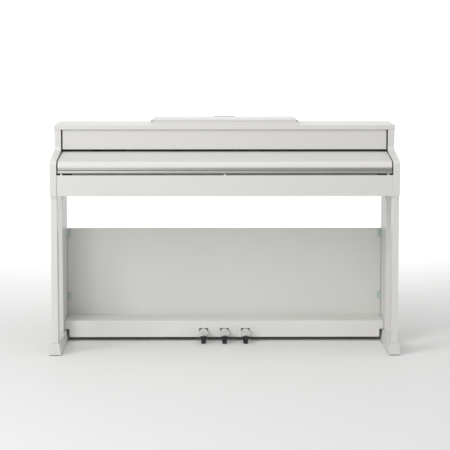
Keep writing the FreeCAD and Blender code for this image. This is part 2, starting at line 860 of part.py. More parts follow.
def white_keys(note, place_in_octave, first_slot):
    body = doc.addObject("PartDesign::Body", "white_%s" % note)
    group_start = 0 if place_in_octave < 3 else 3
    left = "%s + %d * white_pitch + key_gap / 2" % (FIRST_C, place_in_octave)
    right = "%s + %d * white_pitch - key_gap / 2" % (FIRST_C, place_in_octave + 1)
    tail_left = "%s + tail_gap / 2" % slot_edge(group_start, first_slot)
    tail_right = "%s - tail_gap / 2" % slot_edge(group_start, first_slot + 1)
    outline = white_outline(left, right, tail_left, tail_right)
    repeated = pad(body, sketch_on(body, "XY_Plane", note + "_outline", outline), "key_tall")
    repeat(body, repeated, 7)
    extra = {"c": (7, 1), "a": (-1, 0), "b": (-1, 0)}.get(note)
    if extra:
        shift = "%d * (%s)" % (extra[0], OCTAVE)
        ends = [left, right, tail_left, tail_right]
        if note == "a":
            ends[2] = left
        if note == "c":
            ends[3] = right
        outline = white_outline(*["%s + %s" % (end, shift) for end in ends])
        if note != "b":
            outline = straight_side(outline, note)
        pad(body, sketch_on(body, "XY_Plane", note + "_end_outline", outline), "key_tall")
    place(body, z=KEY_UNDER)
    finish_keys(body, note)


def straight_side(outline, note):
    """Drops the shoulder on the side where the end key has no black neighbour."""
    if note == "a":
        return outline[:6]
    return outline[:2] + outline[4:]


def black_keys(note, group_start, slot):
    body = doc.addObject("PartDesign::Body", "black_%s" % note)
    front = "key_front + head_long + key_gap"
    rear = "key_front + head_long + black_long"
    points = [(front, KEY_UNDER), (front, "white_top"), (front + " + black_slope", "black_top"), (rear, "black_top"),
              (rear, "white_top"), ("key_tail", "white_top"), ("key_tail", KEY_UNDER)]
    core = pad(body, sketch_on(body, "YZ_Plane", note + "_outline", points), "black_wide", middle=True)
    has_first = note == "a_sharp"
    repeat(body, core, 8 if has_first else 7)
    middle = "(%s) / 2 + (%s) / 2" % (slot_edge(group_start, slot), slot_edge(group_start, slot + 1))
    place(body, x="%s - (%s)" % (middle, OCTAVE) if has_first else middle)
    finish_keys(body, note)


def finish_keys(body, note):
    """Bores the keys for the common pivot rod."""
    bore = rod("bore_" + note, "rod_radius + rod_clearance", ("-keys_half - 1", "key_pivot_y", "key_pivot_z"),
               "2 * keys_half + 2")
    keep(cut("keys_" + note, body, [bore]), "keys_" + note)


def key_frame():
    body = doc.addObject("PartDesign::Body", "frame_body")
    floor = "case_under + bed_thick"
    skin = floor + " + frame_skin"
    front = "frame_front + front_rail_deep"
    middle = "sensor_rail_front + sensor_rail_deep"
    points = [("frame_front", floor), ("frame_rear", floor), ("frame_rear", "rear_rail_top"),
              ("rear_rail_front", "rear_rail_top"), ("rear_rail_front", skin), (middle, skin),
              (middle, "sensor_rail_top"), ("sensor_rail_front", "sensor_rail_top"), ("sensor_rail_front", skin),
              (front, skin), (front, "front_rail_top"), ("frame_front", "front_rail_top")]
    pad(body, sketch_on(body, "YZ_Plane", "frame_outline", points), "2 * frame_half", middle=True)
    lugs = []
    for name, side in SIDES:
        around = ("key_pivot_y - lug_half", "key_pivot_y + lug_half")
        lug = block("lug_" + name, side_bounds(side, "lug_inner", "lug_outer"), around, (floor, "lug_top"))
        web = block("lug_web_" + name, side_bounds(side, "frame_half - 1", "lug_inner + 1"), around, (floor, skin))
        lugs += [lug, web]
    bore = rod("frame_bore", "rod_radius + 0.02", ("-lug_outer - 1", "key_pivot_y", "key_pivot_z"), "2 * lug_outer + 2")
    keep(cut("key_frame", join("frame_blank", [body] + lugs), [bore]), "key_frame")
    keep(rod("key_pivot_rod", "rod_radius", ("-lug_outer", "key_pivot_y", "key_pivot_z"), "2 * lug_outer"),
         "key_pivot_rod")
    across = ("-frame_half", "frame_half")
    felts = [block("front_felt", across, ("frame_front + 2", front + " - 2"),
                   ("front_rail_top", "front_rail_top + felt_tall")),
             block("rear_felt", across, ("rear_felt_front", "frame_rear - 1"),
                   ("rear_rail_top", "rear_rail_top + rear_felt_tall"))]
    keep(group("key_stop_felts", felts), "key_stop_felts")
    sensor = block("sensor_plate", across, ("sensor_rail_front + 2", middle + " - 2"),
                   ("sensor_rail_top", "sensor_rail_top + board_thick"))
    domes = block("sensor_domes", across, ("sensor_rail_front + 12", "sensor_rail_front + 26"),
                  ("sensor_rail_top + board_thick", "sensor_rail_top + board_thick + 12"))
    keep(group("sensor_board", [sensor, domes]), "sensor_board")


# ---- key blocks and controls ----

def controls():
    top = "white_top"
    under = "white_top - button_tall - well_floor"
    above = "white_top + overrun"
    floor = "case_under + bed_thick"
    blanks = {}
    for name, side in SIDES:
        blanks[name] = block("block_" + name, side_bounds(side, "block_inner", "block_outer"),
                             ("block_front", "block_rear"), (floor, top))
    power_well = rod("power_well", "power_radius + button_gap", ("-controls_x", "power_y", under),
                     "button_tall + 2 * well_floor", "z")
    slot = block("slider_slot", ("controls_x - slit_half", "controls_x + slit_half"),
                 ("slider_y - slider_travel - slit_end", "slider_y + slider_travel + slit_end"), (under, above))
    well_x = "function_half_wide + button_gap"
    well_y = "function_half_long + button_gap"
    function_well = block("function_well", ("controls_x - (%s)" % well_x, "controls_x + (%s)" % well_x),
                          ("function_y - (%s)" % well_y, "function_y + (%s)" % well_y), (under, above))
    pair = [cut("key_block_left", blanks["left"], [power_well]),
            cut("key_block_right", blanks["right"], [slot, function_well])]
    keep(group("key_blocks", pair), "key_blocks")
    stem = "white_top - button_tall + button_proud"
    keep(rod("power_button", "power_radius", ("-controls_x", "power_y", stem), "button_tall", "z"), "power_button")
    button = board("function_cap", ("controls_x - function_half_wide", "controls_x + function_half_wide"),
                   ("function_y - function_half_long", "function_y + function_half_long"),
                   (stem, "white_top + button_proud"), "button_edge")
    keep(button, "function_button")
    cap = block("slider_cap", ("controls_x - slider_half_wide", "controls_x + slider_half_wide"),
                ("slider_y - slider_half_long", "slider_y + slider_half_long"),
                ("white_top + slider_gap", "white_top + slider_tall"))
    blade = block("slider_blade", ("controls_x - blade_half", "controls_x + blade_half"),
                  ("slider_y - blade_half_long", "slider_y + blade_half_long"), ("white_top - blade_deep", above))
    keep(join("volume_slider", [cap, blade]), "volume_slider")


# ---- speakers and electronics ----

# slots each side of a grille's middle one
GRILLE_ROWS = 5
# left front corner of each chip, and the middle of each capacitor
CHIPS = ((-120, 100), (-60, 130), (20, 95))
CANS = ((175, 115), (200, 115))


def speakers():
    frames, cones, grilles = [], [], []
    floor = "case_under + bed_thick"
    for name, side in SIDES:
        x = "%d * speaker_x" % side
        flange = rod("flange_disc_" + name, "speaker_rim", (x, "speaker_y", floor), "rim_thick", "z")
        basket = cone("basket_" + name, "cone_rim + basket_rim_wall", "cone_neck + basket_neck_wall",
                      (x, "speaker_y", floor), "basket_top - (%s)" % floor)
        magnet = rod("magnet_" + name, "magnet_radius", (x, "speaker_y", "basket_top - magnet_lap"),
                     "magnet_top - basket_top + magnet_lap", "z")
        hollow = cone("basket_hollow_" + name, "cone_rim + hollow_rim_wall", "cone_neck + hollow_neck_wall",
                      (x, "speaker_y", floor + " - hollow_lap"), "basket_top - basket_roof - (%s)" % floor)
        frames.append(cut("speaker_frame_" + name, join("frame_solid_" + name, [flange, basket, magnet]), [hollow]))
        mouth = floor + " - surround_deep"
        skin = cone("cone_skin_" + name, "cone_rim", "cone_neck", (x, "speaker_y", mouth), "cone_deep")
        edge = rod("surround_" + name, "speaker_hole - surround_gap", (x, "speaker_y", mouth), "surround_deep", "z")
        inside = cone("cone_inside_" + name, "cone_rim - cone_wall", "cone_neck - cone_wall",
                      (x, "speaker_y", mouth + " - hollow_lap"), "cone_deep - overrun")
        cones.append(cut("speaker_cone_" + name, join("cone_solid_" + name, [skin, edge]), [inside]))
        disc = rod("grille_disc_" + name, "speaker_hole + grille_lap", (x, "speaker_y", "case_under - grille_thick"),
                   "grille_thick", "z")
        slots = []
        for index in range(-GRILLE_ROWS, GRILLE_ROWS + 1):
            offset = "%d * 2 * grille_bar" % index
            half = "sqrt((speaker_hole - grille_edge)^2 - (abs(%s) + grille_bar / 2)^2)" % offset
            slots.append(block("grille_slot", ("%s - (%s)" % (x, half), "%s + (%s)" % (x, half)),
                               ("speaker_y + %s - grille_bar / 2" % offset, "speaker_y + %s + grille_bar / 2" % offset),
                               ("case_under - 2 * grille_thick", "case_under + 2 * grille_thick")))
        grilles.append(cut("grille_" + name, disc, slots))
    for label, items in (("speaker_frames", frames), ("speaker_cones", cones), ("speaker_grilles", grilles)):
        keep(group(label, items), label)


def circuit_board(label, across, front, floor):
    """A board on four posts, one near each corner."""
    top = floor + " + post_tall + board_thick"
    parts = [block(label, across, (front, "boards_rear"), (floor + " + post_tall", top))]
    for x in (across[0] + " + post_inset", across[1] + " - post_inset"):
        for y in (front + " + post_inset", "boards_rear - post_inset"):
            parts.append(rod(label + "_post", "post_radius", (x, y, floor), "post_tall + post_lap", "z"))
    return parts


def electronics():
    floor = "case_under + bed_thick"
    main = circuit_board("main_board", ("main_left", "main_right"), "main_front", floor)
    chip_low = floor + " + post_tall + board_thick - post_lap"
    for x, y in CHIPS:
        main.append(block("chip", ("%d" % x, "%d + chip_wide" % x), ("%d" % y, "%d + chip_wide" % y),
                          (chip_low, floor + " + chip_rise")))
    power = circuit_board("power_board", ("power_left", "power_right"), "power_front", floor)
    for x, y in CANS:
        power.append(rod("can", "can_radius", ("%d" % x, "%d" % y, floor + " + part_rise"), "can_tall", "z"))
    power.append(block("transformer", ("coil_left", "coil_left + coil_wide"), ("coil_front", "coil_front + coil_wide"),
                       (floor + " + part_rise", floor + " + coil_rise")))
    boards = [join("main_board_set", main), join("power_board_set", power)]
    keep(group("circuit_boards", boards), "circuit_boards")

    face = "back_front + back_thick"
    plate = block("jack_plate_blank", ("jack_left - jack_lap", "jack_right + jack_lap"),
                  (face, face + " + jack_plate_thick"), ("case_under", "lid_under"))
    middle = "jack_height"
    tubes, bores = [], []
    for index, radius in enumerate(("inlet_radius", "jack_radius", "jack_radius")):
        x = "jack_left + jack_inset + %d * jack_pitch" % index
        tubes.append(rod("socket_tube_%d" % index, radius + " + socket_wall", (x, face + " - socket_deep", middle),
                         "socket_deep + jack_plate_thick + overrun", "y"))
        bores.append(rod("socket_bore_%d" % index, radius, (x, face + " - socket_deep + socket_floor", middle),
                         "socket_deep + 2 * socket_floor", "y"))
    keep(cut("jack_panel", join("jack_panel_blank", [plate] + tubes), bores), "jack_panel")


# ---- stand ----

def foot(name, side):
    """Floor beam with a tapered section."""
    body = doc.addObject("PartDesign::Body", "foot_" + name)
    points = [("-foot_low_half", "glide_tall"), ("foot_low_half", "glide_tall"), ("foot_top_half", "foot_tall"),
              ("-foot_top_half", "foot_tall")]
    core = pad(body, sketch_on(body, "XZ_Plane", "foot_outline_" + name, points), "foot_rear - foot_front", middle=True)
    round_edges(body, core, "foot_round")
    place(body, x="%d * foot_middle" % side, y="(foot_rear + foot_front) / 2")
    return body


def stand():
    legs, sides, glides = [], [], []
    for name, side in SIDES:
        across = side_bounds(side, "leg_inner", "leg_outer")
        legs.append(board("leg_" + name, across, ("leg_front", "leg_front + leg_deep"), ("foot_tall", "case_under")))
        sides.append(board("side_" + name, across, ("side_front", "case_rear"), ("foot_tall", "case_under")))
        for end in ("foot_front + glide_inset", "foot_rear - glide_inset"):
            glides.append(rod("glide_" + name, "glide_radius", ("%d * foot_middle" % side, end, "0"), "glide_tall", "z"))
    keep(group("legs", legs), "legs")
    keep(group("side_boards", sides), "side_boards")
    keep(group("feet", [foot(name, side) for name, side in SIDES]), "feet")
    keep(group("foot_glides", glides), "foot_glides")
    back = board("back_panel", ("-stand_half", "stand_half"), ("back_board_front", "back_board_front + back_board_thick"),
                 ("back_board_under", "back_board_top"))
    notches = [block("back_notch_" + name, side_bounds(side, "notch_half", "stand_half + overrun"),
                     ("back_board_front - overrun", "back_board_front + back_board_thick + overrun"),
                     ("back_board_under - overrun", "notch_top")) for name, side in SIDES]
    keep(cut("back_board", back, notches), "back_board")


def angle_bracket(name, side, y, z, tall, deep, wall_on_top=False):
    """Small L-shaped bracket against a side board and the board beside it."""
    outer = "leg_inner"
    inner = "leg_inner - bracket_wide"
    upright = block(name + "_upright", side_bounds(side, "leg_inner - bracket_wall", outer),
                    (y, "%s + %s" % (y, deep)), (z, "%s + %s" % (z, tall)))
    if wall_on_top:
        web = block(name + "_web", side_bounds(side, inner, outer), (y, "%s + %s" % (y, deep)),
                    ("%s + %s - bracket_wall" % (z, tall), "%s + %s" % (z, tall)))
    else:
        web = block(name + "_web", side_bounds(side, inner, outer),
                    ("%s + %s - bracket_wall" % (y, deep), "%s + %s" % (y, deep)), (z, "%s + %s" % (z, tall)))
    return join(name, [upright, web])


def brackets():
    stand_set, corner_set = [], []
    for name, side in SIDES:
        for index, y in enumerate(("side_front + bracket_front_gap", "case_rear - bracket_rear_gap")):
            stand_set.append(angle_bracket("stand_bracket_%s_%d" % (name, index), side, y,
                                           "case_under - stand_bracket_tall", "stand_bracket_tall",
                                           "stand_bracket_deep", wall_on_top=True))
        front = "back_board_front - bracket_deep"
        corner_set.append(angle_bracket("corner_high_" + name, side, front, "back_board_top - corner_tall",
                                        "corner_tall", "bracket_deep"))
        corner_set.append(angle_bracket("corner_low_" + name, side, front, "corner_low", "corner_low_tall",
                                        "bracket_deep"))
        for index, y in enumerate(("box_front + tab_front", "box_front + tab_front + tab_step")):
            tab = block("box_tab_%s_%d" % (name, index), side_bounds(side, "leg_inner - tab_wide", "leg_inner"),
                        (y, y + " + tab_deep"), ("box_top", "box_top + tab_thick"))
            wall = block("box_tab_wall_%s_%d" % (name, index), side_bounds(side, "leg_inner - tab_thick", "leg_inner"),
                         (y, y + " + tab_deep"), ("box_top", "box_top + tab_tall"))
            corner_set.append(join("box_bracket_%s_%d" % (name, index), [tab, wall]))
    keep(group("stand_brackets", stand_set), "stand_brackets")
    keep(group("corner_brackets", corner_set), "corner_brackets")


BACK_SCREWS = 6


def screws():
    """Back panel screws, and the screws through the stand's brackets."""
    heads = []
    face = "back_front + back_thick"
    for index in range(BACK_SCREWS):
        x = "screw_first + %d * screw_step" % index
        for low in ("case_under + screw_inset", "lid_under - screw_inset"):
            heads.append(rod("back_screw", "screw_radius", (x, face, low), "screw_head", "y"))
    for name, side in SIDES:
        for z in ("case_under - screw_low", "case_under - screw_high"):
            x = "leg_inner - bracket_wall - screw_head_deep" if side > 0 else "-leg_inner + bracket_wall"
            for y in ("side_front + screw_front", "case_rear - screw_rear"):
                heads.append(rod("bracket_screw", "screw_radius", (x, y, z), "screw_head_deep"))
    keep(group("screws", heads), "screws")


# ---- pedal box and pedals ----

PEDALS = (("soft_pedal", -1), ("sostenuto_pedal", 0), ("damper_pedal", 1))
# the ears stand between and beside the pedals, in pedal spacings from the middle
EAR_GAPS = (-1.5, -0.5, 0.5, 1.5)


def pedal_box():
    outer = board("box_outer", ("-stand_half", "stand_half"), ("box_front", "back_board_front"),
                  ("box_under", "box_top"))
    hollow = block("box_hollow", ("box_wall - stand_half", "stand_half - box_wall"),
                   ("box_front + box_wall", "back_board_front + overrun"),
                   ("box_under - overrun", "box_top - box_lid"))
    cuts = [hollow]
    for name, side in SIDES:
        cuts.append(block("box_notch_" + name, side_bounds(side, "notch_half", "stand_half + overrun"),
                          ("box_front - overrun", "back_board_front + overrun"), ("box_under - overrun", "notch_top")))
    for label, step in PEDALS:
        middle = "%d * pedal_spacing" % step
        cuts.append(block("slot_" + label, (middle + " - slot_half", middle + " + slot_half"),
                          ("box_front - overrun", "box_front + box_wall + overrun"), ("slot_low", "slot_high")))
    keep(cut("pedal_box", outer, cuts), "pedal_box")

    roof = "box_top - box_lid"
    plate = block("mount_plate", ("-mount_half", "mount_half"), ("mount_front", "mount_rear"),
                  (roof + " - ear_thick", roof))
    ears = []
    for gap in EAR_GAPS:
        x = "%s * pedal_spacing" % gap
        ears.append(block("ear", (x + " - ear_thick / 2", x + " + ear_thick / 2"),
                          ("pedal_axle_y - ear_half", "pedal_axle_y + ear_half"), ("pedal_axle_z - ear_half", roof)))
    bore = rod("axle_bore", "axle_radius + axle_slip", ("-mount_half", "pedal_axle_y", "pedal_axle_z"), "2 * mount_half")
    keep(cut("pedal_frame", join("pedal_frame_blank", [plate] + ears), [bore]), "pedal_frame")
    axle = rod("pedal_axle", "axle_radius", ("-axle_half", "pedal_axle_y", "pedal_axle_z"), "2 * axle_half")
    keep(axle, "pedal_axle")
    springs = []
    for label, step in PEDALS:
        start = ("%d * pedal_spacing + pedal_neck_half + spring_gap" % step, "pedal_axle_y", "pedal_axle_z")
        shell = rod("spring_" + label, "axle_radius + spring_wall", start, "spring_long")
        bore = rod("spring_bore_" + label, "axle_radius + axle_slip", (start[0] + " - overrun",) + start[1:],
                   "spring_long + 2 * overrun")
        springs.append(cut("return_spring_" + label, shell, [bore]))
    keep(group("pedal_springs", springs), "pedal_springs")
    rests = []
    for label, step in PEDALS:
        x = "%d * pedal_spacing" % step
        stem = cone("pedal_rest_stem_" + label, "rest_foot_radius", "rest_top_radius", (x, "rest_place", "0"),
                    "rest_height - rest_cap_thick / 2")
        cap = rod("pedal_rest_cap_" + label, "rest_cap_radius", (x, "rest_place", "rest_height - rest_cap_thick"),
                  "rest_cap_thick", "z")
        rests.append(join("pedal_rest_" + label, [stem, cap]))
    keep(group("pedal_rests", rests), "pedal_rests")


def pedal(label, step):
    """Lever seen from the side, trimmed to its spoon-shaped plan."""
    side = doc.addObject("PartDesign::Body", label + "_side")
    tip = "pedal_tip"
    tail = "pedal_axle_y + lever_tail"
    back, middle, near = [tip + " + spoon_" + place_name for place_name in ("back", "middle", "near")]
    points = [(tail, "pedal_axle_z + lever_half"), ("box_front", "pedal_axle_z + lever_half"),
              (back, "top_back"), (middle, "top_middle"), (near, "top_near"), (tip, "tip_top"),
              (tip, "tip_low"), (near, "low_near"), (middle, "low_middle"), (back, "low_back"),
              ("box_front", "pedal_axle_z - lever_front_half"),
              ("pedal_axle_y - lever_belly", "pedal_axle_z - lever_half"), (tail, "pedal_axle_z - lever_half")]
    pad(side, sketch_on(side, "YZ_Plane", label + "_profile", points), "2 * pedal_head_half", middle=True)
    plan = doc.addObject("PartDesign::Body", label + "_plan")
    half, head = "pedal_neck_half", "pedal_head_half"
    right = [(half, tail), (half, tip + " + neck_back"), ("0.8 * " + head, tip + " + spoon_shoulder"),
             (head, tip + " + spoon_widest"), ("0.94 * " + head, tip + " + spoon_round"),
             ("0.7 * " + head, near), ("0.36 * " + head, tip)]
    left = [("-(%s)" % x, y) for x, y in reversed(right)]
    pad(plan, sketch_on(plan, "XY_Plane", label + "_outline", right + left), "foot_tall * 2")
    lever = doc.addObject("Part::Common", label + "_lever")
    lever.Base = side
    lever.Tool = plan
    bore = rod(label + "_bore", "axle_radius + shaft_clearance",
               ("-pedal_head_half - overrun", "pedal_axle_y", "pedal_axle_z"), "2 * pedal_head_half + 2 * overrun")
    item = cut(label, lever, [bore])
    place(item, x="%d * pedal_spacing" % step)
    keep(item, label)


# ---- build, check and write ----

case_boards()
fallboard()
handle_strip()
rails()
synchro_shaft()
fallboard_brackets()
glide_shoes()
music_rest()
for natural in NATURALS:
    white_keys(*natural)
for sharp in SHARPS:
    black_keys(*sharp)
key_frame()
controls()
speakers()
electronics()
stand()
brackets()
screws()
pedal_box()
for one_pedal in PEDALS:
    pedal(*one_pedal)
doc.recompute()

broken = [item.Name for item in doc.Objects if "Invalid" in item.State or "Error" in item.State]
broken += [item.Label for item in nodes if item.Shape.isNull() or not item.Shape.isValid()]
if broken:
    raise RuntimeError("these did not build: " + ", ".join(broken))
os.makedirs("parts", exist_ok=True)
for item in nodes:
    item.Shape.exportStep("parts/%s.step" % item.Label)
print(len(nodes), "nodes written")
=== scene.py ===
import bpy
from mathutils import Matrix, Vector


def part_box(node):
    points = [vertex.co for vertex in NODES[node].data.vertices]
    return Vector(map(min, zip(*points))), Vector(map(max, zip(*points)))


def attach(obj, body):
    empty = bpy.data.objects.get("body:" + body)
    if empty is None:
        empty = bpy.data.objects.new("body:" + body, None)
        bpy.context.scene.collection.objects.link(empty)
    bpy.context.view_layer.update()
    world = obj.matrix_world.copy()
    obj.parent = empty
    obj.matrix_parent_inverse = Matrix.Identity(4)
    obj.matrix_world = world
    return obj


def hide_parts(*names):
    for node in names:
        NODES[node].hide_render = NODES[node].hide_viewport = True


bl_info = {
    "name": "Digital Piano Finisher",
    "version": (1, 0, 0),
    "blender": (4, 5, 0),
    "location": "3D View > Sidebar > Piano",
    "description": "Finishes a digital piano on its stand: lacquer, keys, pedals and fittings",
    "category": "Object",
}

import math

import bmesh
import bpy
from mathutils import Matrix, Vector

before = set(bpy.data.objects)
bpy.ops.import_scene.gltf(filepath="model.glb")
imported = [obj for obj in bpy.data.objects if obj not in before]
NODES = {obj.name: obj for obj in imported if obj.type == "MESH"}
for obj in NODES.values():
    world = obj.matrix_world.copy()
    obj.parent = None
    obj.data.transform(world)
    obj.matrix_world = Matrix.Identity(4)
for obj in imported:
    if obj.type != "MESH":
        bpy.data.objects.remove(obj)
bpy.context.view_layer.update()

SHARPS = ("c_sharp", "d_sharp", "f_sharp", "g_sharp", "a_sharp")
NATURALS = ("c", "d", "e", "f", "g", "a", "b")
PEDALS = ("soft_pedal", "sostenuto_pedal", "damper_pedal")


# ---- properties ----

def colour(name, description, default):
    """A colour that the user can change."""
    return bpy.props.FloatVectorProperty(name=name, description=description, default=default,
                                         size=3, min=0.0, max=1.0, subtype="COLOR")


def length(name, description, default):
    """A length in metres that the user can change."""
    return bpy.props.FloatProperty(name=name, description=description, default=default,
                                   min=0.0, unit="LENGTH")


def plain(name, description, default, **limits):
    """A number without a unit that the user can change."""
    return bpy.props.FloatProperty(name=name, description=description, default=default,
                                   **limits)


class PianoFinish(bpy.types.PropertyGroup):
    """Colours and gloss of the finishes."""

    lacquer: colour("Lacquer", "Satin lacquer on the boards", (0.675, 0.668, 0.645))
    lacquer_shade: colour("Lacquer shade", "Slightly darker drift in the lacquer",
                          (0.645, 0.638, 0.615))
    # Painted light: the boards' white lacquer again, painted lighter so that the back board and
    # pedal box, in the shade under the case, look as bright as lit faces.
    shade_lifted_lacquer: colour("Shade lifted lacquer", "Lacquer on the back board and pedal box",
                          (0.765, 0.76, 0.735))
    hardboard: colour("Hardboard", "Painted hardboard at the rear", (0.52, 0.515, 0.50))
    lacquer_rough: plain("Lacquer roughness", "Roughness of the satin lacquer", 0.42,
                         min=0.0, max=1.0)
    handle: colour("Handle", "Anodised handle strip", (0.47, 0.467, 0.45))
    dark_metal: colour("Dark metal", "Dark brushed metal", (0.22, 0.22, 0.225))
    steel: colour("Steel", "Zinc-plated steel", (0.62, 0.62, 0.61))
    chrome: colour("Chrome", "Polished pedals", (0.82, 0.82, 0.83))
    white_key: colour("White keys", "White key tops", (0.83, 0.82, 0.78))
    black_key: colour("Black keys", "Matt black keys", (0.012, 0.012, 0.013))
    felt: colour("Felt", "Stop felts", (0.32, 0.03, 0.035))
    circuit: colour("Circuit board", "Solder resist", (0.015, 0.13, 0.045))
    copper: colour("Tracks", "Tracks under the solder resist", (0.05, 0.24, 0.08))
    bracket: colour("Corner brackets", "Moulded corner brackets", (0.62, 0.72, 0.70))
    rubber: colour("Black rubber", "Pedal rests and glides", (0.014, 0.014, 0.015))
    pale_rubber: colour("Pale rubber", "Bumpers", (0.78, 0.78, 0.76))


class PianoPieces(bpy.types.PropertyGroup):
    """Sizes of the fine pieces."""

    edge: length("Edge rounding", "Rounding on moulded edges", 0.0007)
    metal_edge: length("Metal edge", "Rounding on the handle, brackets and finger strip", 0.0004)
    bracket_edge: length("Bracket edge", "Rounding on the moulded corner brackets", 0.0005)
    wire: length("Spring wire", "Half of the pedal spring wire's thickness", 0.0011)
    turns: bpy.props.IntProperty(name="Spring turns", description="Turns in each pedal spring",
                                 default=5, min=2)
    rib: length("Rib depth", "Depth of the ribs round a pedal rest", 0.0008)
    # The wide black cap on each rest is painted shade: a dark rubber flange that stands in for the
    # shadow under the pedal's head.
    cap: length("Rest cap", "Thickness of a pedal rest's wide cap", 0.0045)
    bumper_dome: length("Bumper dome", "Rounding of a bumper's top", 0.0022)
    roll: length("Cone surround", "Height of the rubber roll round a speaker cone", 0.0009)


class PianoStudio(bpy.types.PropertyGroup):
    """Camera and light."""

    camera_place: bpy.props.FloatVectorProperty(
        name="Camera", description="Where the camera stands", default=(-0.043, -6.248, 1.378),
        size=3, subtype="TRANSLATION")
    camera_pitch: plain("Pitch", "How far the camera looks down, in degrees", 5.78)
    camera_yaw: plain("Yaw", "How far the camera turns, in degrees", -0.41)
    lens: plain("Lens", "Focal length in millimetres", 121.7)
    shift: plain("Shift", "Vertical shift of the lens", -0.13)
    key_power: plain("Key light", "Power of the large light on the left", 113.0, min=0.0)
    fill_power: plain("Fill light", "Power of the light on the right", 18.0, min=0.0)
    top_power: plain("Top light", "Power of the overhead light", 62.0, min=0.0)
    strip_power: plain("Strip light", "Power of the small light that shines on the handle",
                       26.0, min=0.0)
    wall_power: plain("Wall light", "Power of the light on the backdrop", 440.0, min=0.0)
    surround: plain("Surround", "Strength of the room's own light", 0.47, min=0.0)
    floor: colour("Floor", "Colour of the floor", (0.775, 0.775, 0.77))


# ---- node helpers ----

def feed(tree, socket, value):
    """Gives an input a value, or a link where the value is another node's socket."""
    if isinstance(value, bpy.types.NodeSocket):
        tree.links.new(value, socket)
    else:
        socket.default_value = value


def add(tree, kind, inputs=None, **settings):
    """A new node with its settings and inputs."""
    item = tree.nodes.new(kind)
    for key, value in settings.items():
        setattr(item, key, value)
    for key, value in (inputs or {}).items():
        feed(tree, item.inputs[key], value)
    return item


def multiply_add(tree, value, factor, base):
    """The value times the factor, plus the base."""
    inputs = {0: value, 1: factor, 2: base}
    return add(tree, "ShaderNodeMath", inputs, operation="MULTIPLY_ADD").outputs[0]


def mix_colour(tree, amount, first, second):
    """The first colour, mixed with the second by an amount."""
    inputs = {0: amount, 6: first, 7: second}
    return add(tree, "ShaderNodeMix", inputs, data_type="RGBA").outputs[2]


def noise(tree, place, scale, detail, **more):
    """The outputs of a noise over a place."""
    inputs = {"Vector": place, "Scale": scale, "Detail": detail, **more}
    return add(tree, "ShaderNodeTexNoise", inputs).outputs


def between(tree, value, low, high):
    """The value stretched so that low becomes 0 and high becomes 1."""
    inputs = {"Value": value, "From Min": low, "From Max": high}
    return add(tree, "ShaderNodeMapRange", inputs).outputs[0]


# ---- shared effects ----

WHITE = (1.0, 1.0, 1.0, 1.0)
GROUP_INPUTS = (("Colour", "NodeSocketColor", WHITE), ("Shade", "NodeSocketColor", WHITE),
                ("Roughness", "NodeSocketFloat", 0.5), ("Scale", "NodeSocketFloat", 10.0))
GROUP_OUTPUTS = (("Colour", "NodeSocketColor"), ("Roughness", "NodeSocketFloat"),
                 ("Height", "NodeSocketFloat"))

# Fixed patterns inside the effects, in repeats per metre.
PEEL_SCALE = 420.0
SPECK_SCALE = 1500.0
SPECK_SHARE = 0.25
CLOUD_SCALE = 35.0
BEND_SCALE = 120.0
BEND_SHARE = 0.02
FINE_SCALE = 260.0
BRUSH_STRETCH = (1.0, 70.0, 70.0)
TRACK_WIDTH = 0.03
TRACK_COLOURS = ((0.0, 0.0, 0.0, 1.0), (0.3, 0.3, 0.3, 1.0))


def effect(name):
    """An empty shader group: its tree, input node, output node and Object coordinates."""
    tree = bpy.data.node_groups.new(name, "ShaderNodeTree")
    for label, kind, value in GROUP_INPUTS:
        socket = tree.interface.new_socket(name=label, in_out="INPUT", socket_type=kind)
        socket.default_value = value
    for label, kind in GROUP_OUTPUTS:
        tree.interface.new_socket(name=label, in_out="OUTPUT", socket_type=kind)
    source = tree.nodes.new("NodeGroupInput")
    sink = tree.nodes.new("NodeGroupOutput")
    return tree, source.outputs, sink.inputs, add(tree, "ShaderNodeTexCoord").outputs["Object"]


def finish_group(tree, source, sink, mask, spread, height):
    """Mixes the two colours by a mask, spreads the roughness with it, and passes the relief on."""
    feed(tree, sink["Colour"], mix_colour(tree, mask, source["Colour"], source["Shade"]))
    feed(tree, sink["Roughness"], multiply_add(tree, mask, spread, source["Roughness"]))
    feed(tree, sink["Height"], height)
    return tree


def lacquer_group():
    """Sprayed satin lacquer: slow drift in tone, cloudy gloss and fine orange peel."""
    tree, source, sink, place = effect("Sprayed Lacquer")
    drift = noise(tree, place, source["Scale"], detail=3.0)["Fac"]
    peel = noise(tree, place, PEEL_SCALE, detail=2.0)["Fac"]
    speck = noise(tree, place, SPECK_SCALE, detail=1.0)["Fac"]
    relief = multiply_add(tree, speck, SPECK_SHARE, peel)
    return finish_group(tree, source, sink, drift, spread=0.10, height=relief)


def brushed_group():
    """Metal brushed along its length."""
    tree, source, sink, place = effect("Brushed Metal")
    stretched = add(tree, "ShaderNodeMapping", {"Vector": place, "Scale": BRUSH_STRETCH}).outputs[0]
    lines = noise(tree, stretched, source["Scale"], detail=4.0, Roughness=0.7)["Fac"]
    return finish_group(tree, source, sink, lines, spread=0.18, height=lines)


def grain_group():
    """Spark-eroded moulding grain, as on plastic and rubber."""
    tree, source, sink, place = effect("Moulding Grain")
    inputs = {"Vector": place, "Scale": source["Scale"]}
    cells = add(tree, "ShaderNodeTexVoronoi", inputs).outputs["Distance"]
    cloud = noise(tree, place, CLOUD_SCALE, detail=4.0)["Fac"]
    return finish_group(tree, source, sink, cloud, spread=0.12, height=cells)


def fibre_group():
    """Pressed fibres, as in felt, hardboard and a paper cone."""
    tree, source, sink, place = effect("Pressed Fibres")
    bend = noise(tree, place, BEND_SCALE, detail=2.0)["Color"]
    bent = mix_colour(tree, BEND_SHARE, place, bend)
    hairs = noise(tree, bent, source["Scale"], detail=6.0, Roughness=0.8)["Fac"]
    clear = between(tree, hairs, low=0.35, high=0.65)
    return finish_group(tree, source, sink, clear, spread=0.08, height=hairs)


